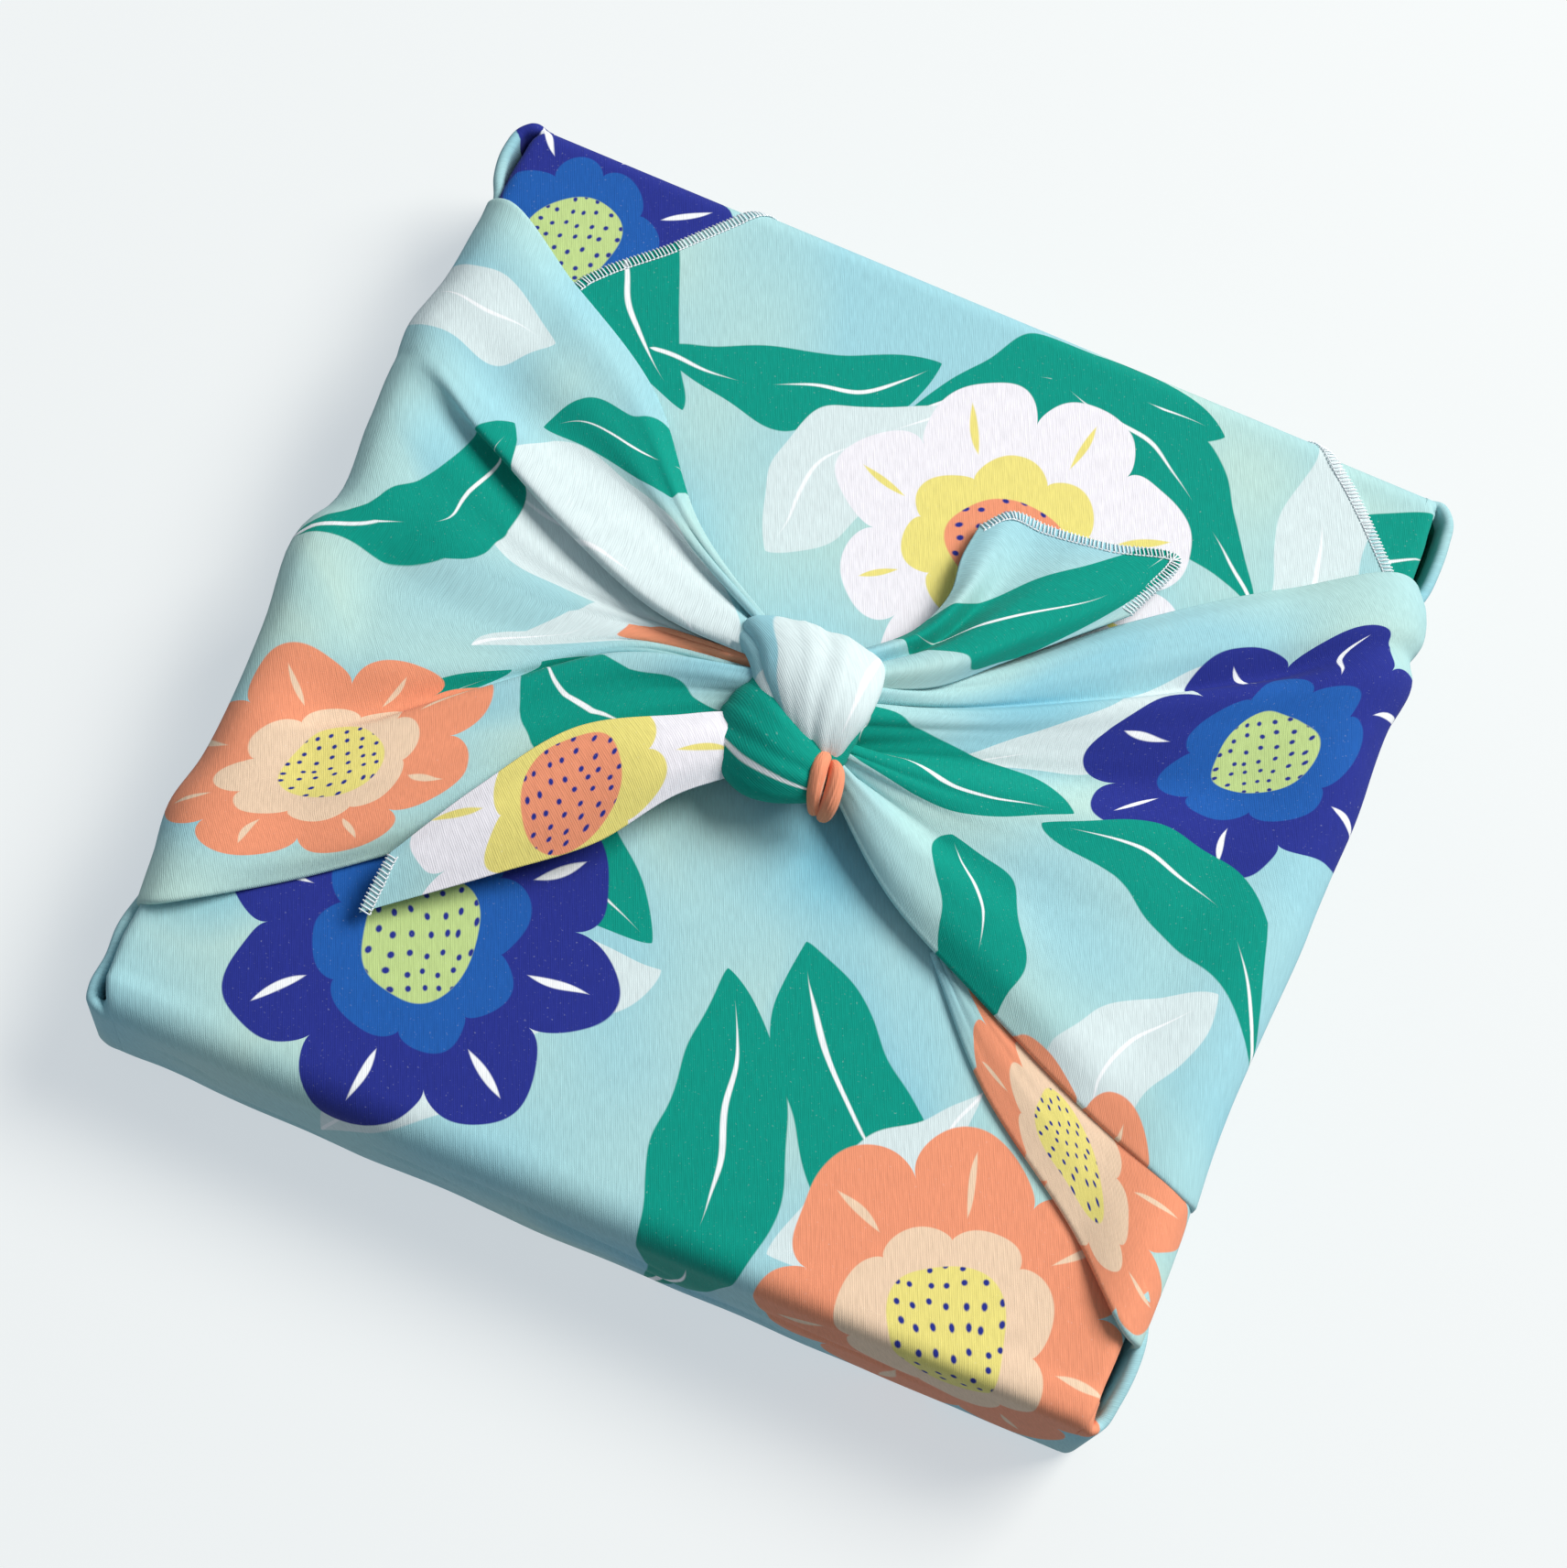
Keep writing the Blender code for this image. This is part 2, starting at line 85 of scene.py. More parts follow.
FLOOR_HALF = 3.0
floor_corners = [(x * FLOOR_HALF, y * FLOOR_HALF, 0) for x, y in ((-1, -1), (1, -1), (1, 1), (-1, 1))]
floor_mesh = bpy.data.meshes.new("floor")
floor_mesh.from_pydata(floor_corners, [], [(0, 1, 2, 3)])
floor = bpy.data.objects.new("floor", floor_mesh)
bpy.context.scene.collection.objects.link(floor)
pale = bpy.data.materials.new("pale floor")
pale.use_nodes = True
surface = pale.node_tree.nodes["Principled BSDF"]
surface.inputs["Base Color"].default_value = (0.35, 0.34, 0.31, 1)
surface.inputs["Emission Color"].default_value = (0.88, 0.94, 1.0, 1)
surface.inputs["Emission Strength"].default_value = 0.575
surface.inputs["Roughness"].default_value = 0.9
floor_mesh.materials.append(pale)
# A whitened paper floor throws little light back on the parcel's sides
floor.visible_diffuse = False


# The carton
# The plain closed box inside the cloth, of folded board with a faint fibre grain. Its shape carries over
# from the model, and it is hidden once the cloth is tied.
def ink(red, green, blue):
    """A colour on the 0 to 255 scale as Blender's linear one."""
    return (*[((value / 255 + 0.055) / 1.055) ** 2.4 for value in (red, green, blue)], 1.0)


def blend_colours(tree, share, under, over):
    """The colour under, with the colour over on it where the share is 1; all may be values or sockets."""
    node = tree.nodes.new("ShaderNodeMix")
    node.data_type = "RGBA"
    for number, value in ((0, share), (6, under), (7, over)):
        if isinstance(value, bpy.types.NodeSocket):
            tree.links.new(value, node.inputs[number])
        else:
            node.inputs[number].default_value = value
    return node.outputs[2]


def grain(tree, place, scale, detail=2.0):
    """A noise node's value at the place, with the given scale."""
    node = tree.nodes.new("ShaderNodeTexNoise")
    node.inputs["Scale"].default_value = scale
    node.inputs["Detail"].default_value = detail
    tree.links.new(place, node.inputs["Vector"])
    return node.outputs["Fac"]


BOARD = ink(196, 172, 138)
PALE_FIBRE = ink(222, 204, 176)
board = bpy.data.materials.new("folded board")
board.use_nodes = True
tree = board.node_tree
place = tree.nodes.new("ShaderNodeTexCoord").outputs["Object"]
fibre = grain(tree, place, 900.0)
surface = tree.nodes["Principled BSDF"]
surface.inputs["Roughness"].default_value = 0.85
tree.links.new(blend_colours(tree, fibre, BOARD, PALE_FIBRE), surface.inputs["Base Color"])
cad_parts["carton"].data.materials.clear()
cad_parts["carton"].data.materials.append(board)


# The body of the cloth
# One strip of the printed jersey that runs round the box: the far flap with its tip, the far wall, the
# underside, the near wall and the near flap, which covers the top and rolls over the far edge.
MM = 0.001
HALF = 125.0  # half the parcel's side
CLOTH = 0.9  # thickness of the jersey
TOP = 40.0  # the floor to the outside of the near flap
UPPER = TOP - CLOTH / 2
LOWER = UPPER - CLOTH - 0.1
BOTTOM = CLOTH / 2
NEAR_WALL = -126.0
FAR_WALL = 127.4
WALL_BULGE = 1.4

# The printed design: flowers and leaves drawn on the flat cloth. x and y are places on it, from its middle,
# with x along the parcel's near edge and y up the near wall and over the top to the far edge.
Flower = namedtuple("Flower", "x y turn size petals inks")
Leaf = namedtuple("Leaf", "x y turn size width bend inks")
AQUA = ink(158, 208, 218)
AQUA_GREEN = ink(187, 219, 211)
DEEP_AQUA = ink(118, 190, 212)
GREEN = ink(0, 148, 130)
NAVY = ink(40, 50, 140)
BLUE = ink(32, 92, 172)
CORAL = ink(240, 152, 116)
PEACH = ink(239, 208, 178)
YELLOW = ink(236, 222, 128)
LIME = ink(192, 214, 140)
BLUSH = ink(240, 236, 242)
TINT = ink(216, 230, 231)
WHITE = ink(246, 248, 250)
# A motif's inks, in the order that these name
FLOWER_INKS = ("Petal", "Ring", "Centre", "Dots", "Lines")
LEAF_INKS = ("Blade", "Rib")
NIGHT = (NAVY, BLUE, LIME, NAVY, WHITE)
SUNSET = (CORAL, PEACH, YELLOW, NAVY, PEACH)
PEARL = (BLUSH, YELLOW, CORAL, NAVY, YELLOW)
SPRIG = (GREEN, WHITE)
SHADE = (TINT, WHITE)
BUD = (CORAL, PEACH)
PRINT = [
    # On the near flap, towards the far edge
    Leaf(-62, 352, 118, 92, 0.15, 0.10, SPRIG),
    Leaf(66, 402, 200, 84, 0.16, -0.14, SPRIG),
    Leaf(20, 398, -28, 78, 0.15, 0.12, SPRIG),
    Leaf(-6, 395, 205, 74, 0.15, 0.12, SPRIG),
    Leaf(96, 345, 96, 84, 0.13, -0.10, SHADE),
    Leaf(-28, 330, 60, 64, 0.2, 0.1, SHADE),
    Flower(28, 352, 10, 46, 8, PEARL),
    # On the near flap, towards the near edge, and on the near wall
    Leaf(-16, 228, 140, 60, 0.2, 0.12, SPRIG),
    Leaf(4, 226, -84, 104, 0.15, 0.12, SPRIG),
    Leaf(20, 238, -38, 96, 0.16, -0.12, SPRIG),
    Leaf(-12, 222, -124, 96, 0.16, -0.12, SHADE),
    Flower(-64, 206, 24, 47, 8, NIGHT),
    Leaf(40, 170, 60, 60, 0.2, -0.10, SHADE),
    Flower(84, 170, 24, 46, 7, SUNSET),
    # On the left flap
    Leaf(-196, -44, 170, 100, 0.26, 0.1, SHADE),
    Leaf(-214, -70, 200, 74, 0.17, 0.1, SPRIG),
    Leaf(-206, -66, 60, 82, 0.17, 0.12, SPRIG),
    Leaf(-206, -96, 6, 70, 0.2, 0.12, SHADE),
    Leaf(-300, -20, 20, 88, 0.18, -0.12, SHADE),
    Leaf(-232, 18, 158, 100, 0.16, -0.12, SPRIG),
    Leaf(-226, 22, 36, 84, 0.17, 0.12, SPRIG),
    Flower(-196, 62, 12, 42, 8, SUNSET),
    Leaf(-240, 88, 190, 70, 0.17, 0.1, SPRIG),
    # On the right flap
    Leaf(214, -86, 40, 78, 0.17, 0.1, SHADE),
    Flower(196, -52, 20, 44, 7, NIGHT),
    Leaf(232, -20, -30, 90, 0.16, 0.12, SPRIG),
    Leaf(236, -14, 150, 84, 0.16, 0.12, SPRIG),
    Leaf(250, 0, 96, 70, 0.2, 0.1, SPRIG),
    Leaf(180, 20, 70, 80, 0.18, -0.1, SHADE),
    Flower(204, 92, 0, 44, 8, SUNSET),
    # On the far flap's corners
    Flower(-104, -186, 12, 42, 8, NIGHT),
    Leaf(86, -200, 20, 80, 0.18, 0.1, SPRIG),
    # On the free ends and the knot
    Leaf(392, 6, 20, 80, 0.2, 0.1, SPRIG),
    Flower(-432, 22, 14, 44, 8, PEARL),
    Leaf(-323, 6, 88, 66, 0.34, 0.06, SPRIG),
    Leaf(336, -46, 84, 66, 0.2, 0.04, SHADE),
    Leaf(-400, -94, 88, 46, 0.6, 0.0, BUD),
    Leaf(-244, -10, 174, 44, 0.2, 0.05, BUD),
]


# A flower's proportions, in its own radius: what it measures between two lobes, and how far the lobes rise
PETAL_DIP = 0.76
PETAL_RISE = 0.24
RING_DIP = 0.46
RING_RISE = 0.1
RING_TURN = 1.1  # turns the ring's lobes away from the petals
CENTRE_RADIUS = 0.31
CENTRE_WAVE = 0.012
# The pale line on a petal runs from 0.60 to 0.89 of the radius, where its stretched place is -1 to 1
LINE_STRETCH = 7.0
LINE_SHIFT = -5.2
LINE_HALF = 0.022
DOTS_ACROSS = 11.0
DOT_RADIUS = 0.17  # in the pitch of the dots
# A leaf's, in its own length
WAVES = 13.0  # the waves of its outline, in radians over its length
WAVE_DEPTH = 0.09
RIB_BEATS = 5.0  # the swellings of its rib, in radians as well; it ends between them
RIB_GAP = 0.45
RIB_HALF = 0.013


def maths(tree, operation, *values):
    """The result of one math node; the values are numbers or sockets."""
    node = tree.nodes.new("ShaderNodeMath")
    node.operation = operation
    for socket, value in zip(node.inputs, values):
        if isinstance(value, (int, float)):
            socket.default_value = value
        else:
            tree.links.new(value, socket)
    return node.outputs[0]


def unit_mask(tree, inside, edge):
    """1 where inside is positive, with a soft edge of that width."""
    mask = maths(tree, "ADD", maths(tree, "DIVIDE", inside, edge), 0.5)
    tree.nodes[-1].use_clamp = True
    return mask


def group_with(name, inputs, outputs):
    """An empty node group; inputs and outputs are pairs of a name and a socket kind."""
    group = bpy.data.node_groups.new(name, "ShaderNodeTree")
    for label, kind in inputs:
        group.interface.new_socket(label, in_out="INPUT", socket_type=f"NodeSocket{kind}")
    for label, kind in outputs:
        group.interface.new_socket(label, in_out="OUTPUT", socket_type=f"NodeSocket{kind}")
    given = group.nodes.new("NodeGroupInput").outputs
    result = group.nodes.new("NodeGroupOutput").inputs
    return group, given, result


def flower_group():
    """A flower in a unit circle: scalloped petals with a line on each, a ring, and a centre with dots."""
    group, given, result = group_with(
        "flower",
        [
            ("Place", "Vector"),
            *[(name, "Float") for name in ("Petals", "Edge")],
            *[(name, "Color") for name in FLOWER_INKS],
        ],
        [("Colour", "Color"), ("Cover", "Float")],
    )
    split = group.nodes.new("ShaderNodeSeparateXYZ")
    group.links.new(given["Place"], split.inputs[0])
    x, y = split.outputs[0], split.outputs[1]
    length = group.nodes.new("ShaderNodeVectorMath")
    length.operation = "LENGTH"
    group.links.new(given["Place"], length.inputs[0])
    reach = length.outputs["Value"]
    angle = maths(group, "ARCTAN2", y, x)
    half_turns = maths(group, "MULTIPLY", maths(group, "MULTIPLY", angle, given["Petals"]), 0.5)
    lobe = maths(group, "POWER", maths(group, "ABSOLUTE", maths(group, "SINE", half_turns)), 0.55)
    ring_turn = maths(group, "ADD", half_turns, RING_TURN)
    ring_lobe = maths(group, "POWER", maths(group, "ABSOLUTE", maths(group, "SINE", ring_turn)), 0.7)
    outline = maths(group, "MULTIPLY_ADD", lobe, PETAL_RISE, PETAL_DIP)
    ring = maths(group, "MULTIPLY_ADD", ring_lobe, RING_RISE, RING_DIP)
    uneven = maths(group, "SINE", maths(group, "MULTIPLY", angle, 3.0))
    centre = maths(group, "MULTIPLY_ADD", uneven, CENTRE_WAVE, CENTRE_RADIUS)
    cover = unit_mask(group, maths(group, "SUBTRACT", outline, reach), given["Edge"])
    in_ring = unit_mask(group, maths(group, "SUBTRACT", ring, reach), given["Edge"])
    in_centre = unit_mask(group, maths(group, "SUBTRACT", centre, reach), given["Edge"])
    # A petal's line lies on its middle, and swells between its ends
    turned = maths(group, "ABSOLUTE", maths(group, "COSINE", half_turns))
    aside = maths(group, "DIVIDE", turned, given["Petals"])
    off_line = maths(group, "MULTIPLY", maths(group, "MULTIPLY", aside, reach), 2.0)
    from_middle = maths(group, "MULTIPLY_ADD", reach, LINE_STRETCH, LINE_SHIFT)
    along = maths(group, "SUBTRACT", 1.0, maths(group, "MULTIPLY", from_middle, from_middle))
    half_line = maths(group, "MULTIPLY", along, LINE_HALF)
    line = unit_mask(group, maths(group, "SUBTRACT", half_line, off_line), given["Edge"])
    # The dots stand in a loose even field
    field = group.nodes.new("ShaderNodeTexVoronoi")
    field.voronoi_dimensions = "2D"
    field.inputs["Scale"].default_value = DOTS_ACROSS
    field.inputs["Randomness"].default_value = 0.35
    group.links.new(given["Place"], field.inputs["Vector"])
    inside_dot = maths(group, "SUBTRACT", DOT_RADIUS, field.outputs["Distance"])
    in_dot = unit_mask(group, inside_dot, maths(group, "MULTIPLY", given["Edge"], DOTS_ACROSS))
    colour = blend_colours(group, line, given["Petal"], given["Lines"])
    colour = blend_colours(group, in_ring, colour, given["Ring"])
    colour = blend_colours(group, in_centre, colour, given["Centre"])
    dotted = maths(group, "MULTIPLY", in_dot, in_centre)
    group.links.new(blend_colours(group, dotted, colour, given["Dots"]), result["Colour"])
    group.links.new(cover, result["Cover"])
    return group


def leaf_group():
    """A leaf from its stem at 0 to its tip at 1 along X: a bent almond with a thin pale rib."""
    group, given, result = group_with(
        "leaf",
        [
            ("Place", "Vector"),
            *[(name, "Float") for name in ("Width", "Bend", "Edge")],
            *[(name, "Color") for name in LEAF_INKS],
        ],
        [("Colour", "Color"), ("Cover", "Float")],
    )
    split = group.nodes.new("ShaderNodeSeparateXYZ")
    group.links.new(given["Place"], split.inputs[0])
    x, y = split.outputs[0], split.outputs[1]
    # The place along the leaf, held between its stem and its tip
    along = maths(group, "MULTIPLY", x, 1.0)
    group.nodes[-1].use_clamp = True
    ahead = maths(group, "SUBTRACT", 1.0, along)
    arch = maths(group, "MULTIPLY", maths(group, "MULTIPLY", along, ahead), 4.0)
    aside = maths(group, "SUBTRACT", y, maths(group, "MULTIPLY", arch, given["Bend"]))
    swell = maths(group, "SINE", maths(group, "MULTIPLY", maths(group, "POWER", along, 0.8), pi))
    waves = maths(group, "SINE", maths(group, "MULTIPLY", along, WAVES))
    wavy = maths(group, "MULTIPLY_ADD", waves, WAVE_DEPTH, 1.0)
    half_width = maths(group, "MULTIPLY", maths(group, "MULTIPLY", swell, given["Width"]), wavy)
    off = maths(group, "ABSOLUTE", aside)
    cover = unit_mask(group, maths(group, "SUBTRACT", half_width, off), given["Edge"])
    ends = maths(group, "MULTIPLY", maths(group, "LESS_THAN", x, 1.0), maths(group, "GREATER_THAN", x, 0.0))
    beats = maths(group, "ABSOLUTE", maths(group, "SINE", maths(group, "MULTIPLY", along, RIB_BEATS)))
    half_rib = maths(group, "MULTIPLY", maths(group, "SUBTRACT", beats, RIB_GAP), RIB_HALF)
    rib = unit_mask(group, maths(group, "SUBTRACT", half_rib, off), given["Edge"])
    group.links.new(blend_colours(group, rib, given["Blade"], given["Rib"]), result["Colour"])
    group.links.new(maths(group, "MULTIPLY", cover, ends), result["Cover"])
    return group


FLOWER_GROUP = flower_group()
LEAF_GROUP = leaf_group()
INK_EDGE = 0.35  # softness of a printed edge on the knit
HAND_DRIFT = 16.0  # how far the drawn outlines wander, from one side to the other
# Scales of the slow noise in the print, in a metre of cloth, and what spreads it over 0 to 1: a factor and
# a shift
WASH_SCALE = 14.0
WASH_SPREAD = (3.2, -1.2)
POOL_SCALE = 17.0
POOL_SPREAD = (3.6, -2.0)
DRIFT_SCALE = 26.0
WALE_TURN = radians(24.2)  # the knit's columns against the cloth's own y
WALE_PITCH = 0.48
WALE_STRETCH = 0.12  # the streaks run on along the columns
FLECK_SCALE = 1400.0
FLECK_SPREAD = (4.0, -2.6)
PALE_FIBRES = 0.35  # how pale the fibres are that the ink has missed
STREAK_SHADE = (0.34, 0.82)  # factor and shift of the ink's strength along the streaks
RIB_RELIEF = 0.25
STREAK_RELIEF = 1.2
KNIT_DEPTH = 0.00012  # in metres


def stamp(tree, motif, place, colour):
    """The colour with one flower or leaf printed on it."""
    local = tree.nodes.new("ShaderNodeMapping")
    local.vector_type = "TEXTURE"
    local.inputs["Location"].default_value = (motif.x * MM, motif.y * MM, 0)
    local.inputs["Rotation"].default_value = (0, 0, radians(motif.turn))
    local.inputs["Scale"].default_value = (motif.size * MM,) * 3
    tree.links.new(place, local.inputs["Vector"])
    drawn = tree.nodes.new("ShaderNodeGroup")
    is_flower = isinstance(motif, Flower)
    drawn.node_tree = FLOWER_GROUP if is_flower else LEAF_GROUP
    tree.links.new(local.outputs[0], drawn.inputs["Place"])
    drawn.inputs["Edge"].default_value = INK_EDGE / motif.size
    if is_flower:
        drawn.inputs["Petals"].default_value = motif.petals
    else:
        drawn.inputs["Width"].default_value = motif.width
        drawn.inputs["Bend"].default_value = motif.bend
    for label, value in zip(FLOWER_INKS if is_flower else LEAF_INKS, motif.inks):
        drawn.inputs[label].default_value = value
    return blend_colours(tree, drawn.outputs["Cover"], colour, drawn.outputs["Colour"])


def jersey(name, places):
    """The printed jersey for one piece, with the flowers and leaves that reach its places on the cloth."""
    made = bpy.data.materials.new(name)
    made.use_nodes = True
    tree = made.node_tree
    spot = tree.nodes.new("ShaderNodeUVMap")
    spot.uv_map = "cloth"
    spot = spot.outputs["UV"]
    wash = grain(tree, spot, WASH_SCALE, 1.0)
    # The motifs are drawn by hand: their outlines wander a little
    drift = tree.nodes.new("ShaderNodeTexNoise")
    drift.inputs["Scale"].default_value = DRIFT_SCALE
    drift.inputs["Detail"].default_value = 1.0
    tree.links.new(spot, drift.inputs["Vector"])
    off = tree.nodes.new("ShaderNodeVectorMath")
    off.operation = "SUBTRACT"
    tree.links.new(drift.outputs["Color"], off.inputs[0])
    off.inputs[1].default_value = (0.5, 0.5, 0.5)
    moved = tree.nodes.new("ShaderNodeVectorMath")
    moved.operation = "MULTIPLY_ADD"
    tree.links.new(off.outputs[0], moved.inputs[0])
    moved.inputs[1].default_value = (HAND_DRIFT * MM, HAND_DRIFT * MM, 0)
    tree.links.new(spot, moved.inputs[2])
    colour = blend_colours(tree, maths(tree, "MULTIPLY_ADD", wash, *WASH_SPREAD), AQUA, AQUA_GREEN)
    tree.nodes[-1].clamp_factor = True
    # The deep pools come from another part of the same noise
    elsewhere = tree.nodes.new("ShaderNodeMapping")
    elsewhere.inputs["Location"].default_value = (3.0, 1.0, 0)
    tree.links.new(spot, elsewhere.inputs["Vector"])
    pool = grain(tree, elsewhere.outputs[0], POOL_SCALE, 1.0)
    colour = blend_colours(tree, maths(tree, "MULTIPLY_ADD", pool, *POOL_SPREAD), colour, DEEP_AQUA)
    tree.nodes[-1].clamp_factor = True
    for motif in PRINT:
        nearest = np.hypot(places[..., 0] - motif.x, places[..., 1] - motif.y).min()
        if nearest <= motif.size * 1.05 + HAND_DRIFT:
            colour = stamp(tree, motif, moved.outputs[0], colour)
    # The knit: columns of stitches, slightly uneven, with a few pale fibres that the ink has missed
    wales = tree.nodes.new("ShaderNodeMapping")
    wales.inputs["Rotation"].default_value = (0, 0, -WALE_TURN)
    tree.links.new(spot, wales.inputs["Vector"])
    stretched = tree.nodes.new("ShaderNodeMapping")
    stretched.inputs["Scale"].default_value = (1.0, WALE_STRETCH, 1.0)
    tree.links.new(wales.outputs[0], stretched.inputs["Vector"])
    streak = grain(tree, stretched.outputs[0], 1000 / WALE_PITCH, 2.0)
    fleck = grain(tree, spot, FLECK_SCALE, 3.0)
    split = tree.nodes.new("ShaderNodeSeparateXYZ")
    tree.links.new(wales.outputs[0], split.inputs[0])
    rib = maths(tree, "SINE", maths(tree, "MULTIPLY", split.outputs[0], 2000 * pi / WALE_PITCH))
    pale_fibre = maths(tree, "MULTIPLY_ADD", fleck, *FLECK_SPREAD)
    tree.nodes[-1].use_clamp = True
    colour = blend_colours(tree, maths(tree, "MULTIPLY", pale_fibre, PALE_FIBRES), colour, WHITE)
    shade = maths(tree, "MULTIPLY_ADD", streak, *STREAK_SHADE)
    toned = tree.nodes.new("ShaderNodeVectorMath")
    toned.operation = "SCALE"
    tree.links.new(colour, toned.inputs[0])
    tree.links.new(shade, toned.inputs["Scale"])
    streak_height = maths(tree, "MULTIPLY", streak, STREAK_RELIEF)
    height = maths(tree, "MULTIPLY_ADD", rib, RIB_RELIEF, streak_height)
    relief = tree.nodes.new("ShaderNodeBump")
    relief.inputs["Strength"].default_value = 0.5
    relief.inputs["Distance"].default_value = KNIT_DEPTH
    tree.links.new(height, relief.inputs["Height"])
    surface = tree.nodes["Principled BSDF"]
    surface.inputs["Roughness"].default_value = 0.82
    surface.inputs["Specular IOR Level"].default_value = 0.12
    surface.inputs["Sheen Weight"].default_value = 0.05
    surface.inputs["Sheen Roughness"].default_value = 0.5
    tree.links.new(toned.outputs[0], surface.inputs["Base Color"])
    tree.links.new(relief.outputs[0], surface.inputs["Normal"])
    return made


def quads(number):
    """The four-sided faces between neighbouring rows and columns of numbered points."""
    corners = [number[:-1, :-1], number[:-1, 1:], number[1:, 1:], number[1:, :-1]]
    return np.stack(corners, axis=-1).reshape(-1, 4)


def cloth_piece(name, grid, places, closed=False):
    """A piece of the jersey through a grid of points; places are the same points on the flat cloth."""
    grid[..., 2] = np.maximum(grid[..., 2], BOTTOM)
    rows, columns = grid.shape[:2]
    number = np.arange(rows * columns).reshape(rows, columns)
    spots = places
    if closed:
        number = np.concatenate([number, number[:, :1]], axis=1)
        spots = np.concatenate([places, places[:, -1:] * 2 - places[:, -2:-1]], axis=1)
    faces = quads(number)
    mesh = bpy.data.meshes.new(name)
    mesh.from_pydata((grid.reshape(-1, 3) * MM).tolist(), [], faces.tolist())
    # A closed piece's last column joins its first, but is a place of its own on the cloth
    marked = quads(np.arange(number.size).reshape(number.shape))
    picked = (spots.reshape(-1, 2) * MM)[marked.reshape(-1)]
    mesh.uv_layers.new(name="cloth").data.foreach_set("uv", picked.astype(np.float32).ravel())
    mesh.shade_smooth()
    mesh.materials.append(jersey(name.replace("_", " ") + " jersey", places))
    piece = bpy.data.objects.new(name, mesh)
    bpy.context.scene.collection.objects.link(piece)
    if not closed:
        solid = piece.modifiers.new("thickness", "SOLIDIFY")
        solid.thickness = CLOTH * MM
        solid.offset = 0
    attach(piece, "root")
    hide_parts("wrap")
    return piece


Corner = namedtuple("Corner", "y z radius reach")
FOOT_TURN = 4.0
NEAR_TURN = 7.5
FAR_TURN = 5.0
FAR_LEAN = 2.2  # the far wall's foot lies that far inside its top
BODY_PATH = [
    Corner(-HALF + 7, LOWER, 0, 14),
    Corner(60, LOWER, 0, 2),
    Corner(FAR_WALL, LOWER, FAR_TURN, 1.5),
    Corner(FAR_WALL - FAR_LEAN, BOTTOM, FOOT_TURN, 12),
    Corner(NEAR_WALL, BOTTOM, FOOT_TURN, 2),
    Corner(NEAR_WALL, UPPER, NEAR_TURN, 1.1),
    Corner(FAR_WALL + 1.6, UPPER, 5.5, 2),
    Corner(FAR_WALL - 0.4, 3, 0, 2),
]
# The strip's left and right edges, by the place along it. Where they are folds they turn down by the tuck.
# The tips narrow at 45 degrees, and the near flap's two hems cross the far edge.
Edges = namedtuple("Edges", "past y left right left_tuck right_tuck")
WALL_END = 119.0  # the walls end that far from the middle, inside the corner folds
BODY_EDGES = [
    Edges("far flap", -118, -86, 86, 0, 0),
    Edges("far flap", -80, -122, 120, 0, 0),
    Edges("far flap", 84, -123, 122, 2, 2),
    Edges("far flap", 96, -123.2, 122.2, 14, 14),
    Edges("far flap", 112, -123.2, 122.2, 14, 14),
    Edges("far flap", 122, -122.4, 121.6, 4, 4),
    Edges("far flap", 131, -WALL_END, WALL_END, 0, 0),
    Edges("underside", 119, -WALL_END, WALL_END, 0, 0),
    Edges("underside", 112, -115, 115, 0, 0),
    Edges("underside", -112, -115, 115, 0, 0),
    Edges("underside", -119, -WALL_END, WALL_END, 0, 0),
    Edges("near flap", -131, -WALL_END, WALL_END, 0, 0),
    Edges("near flap", -124, -121.4, 119.4, 4, 4),
    Edges("near flap", -118, -123.6, 119.8, 7, 7),
    Edges("near flap", -108, -124.4, 120.2, 14, 14),
    Edges("near flap", -92, -123.2, 120.6, 14, 14),
    Edges("near flap", -84, -122, 122, 2, 2),
    Edges("near flap", 82, -100.6, 122, 0, 0),
    Edges("near flap", 84, -98.6, 122, 0, 2),
    Edges("near flap", 88, -96, 122, 0, 2),
    Edges("near flap", 92, -94, 121.6, 0, 0),
    Edges("near flap", 98, -89, 119, 0, 0),
    Edges("near flap", 103, -84, 115.5, 0, 0),
    Edges("near flap", 108, -79, 111, 0, 0),
    Edges("near flap", 114, -74, 105.5, 0, 0),
    Edges("near flap", 120, -69, 99.5, 0, 0),
    Edges("near flap", 126, -64, 92.5, 0, 0),
    Edges("near flap", 166, -29, 57, 0, 0),
]
# Long level creases in the near wall, where the cloth is drawn tight
Crease = namedtuple("Crease", "start finish height_at_start height_at_finish depth")
NEAR_CREASES = [
    Crease(-113, -92, 21, 17, 0.6),
    Crease(-98, -58, 9, 6, 0.8),
    Crease(-58, -26, 24, 15, 0.8),
    Crease(-40, 24, 30, 20, 1.1),
    Crease(-4, 60, 13, 9, 0.8),
    Crease(34, 92, 25, 17, 0.9),
]
CREASE_HALF = 1.7
WALL_WAVE = 0.5  # unevenness of the near wall's bulge
FOOT_WAVE = 1.3  # and of the wall above its foot
TOP_WAVE = 0.35
NEAR_SAG = 0.9  # the top's fall towards its two near corners
NEAR_REACH = 20.0  # how far from the near fold's middle its shape counts
NEAR_SHARPER = 0.55  # the share of its radius that the near fold loses to the right
TURN_STEPS = 8
SIDE_ROLL = 1.2
SIDE_STEPS = 9
FULL_TUCK = 4.0  # a tuck that deep turns straight down
SPARE_TUCK = 2.0  # what a tuck has besides, hidden under the fold


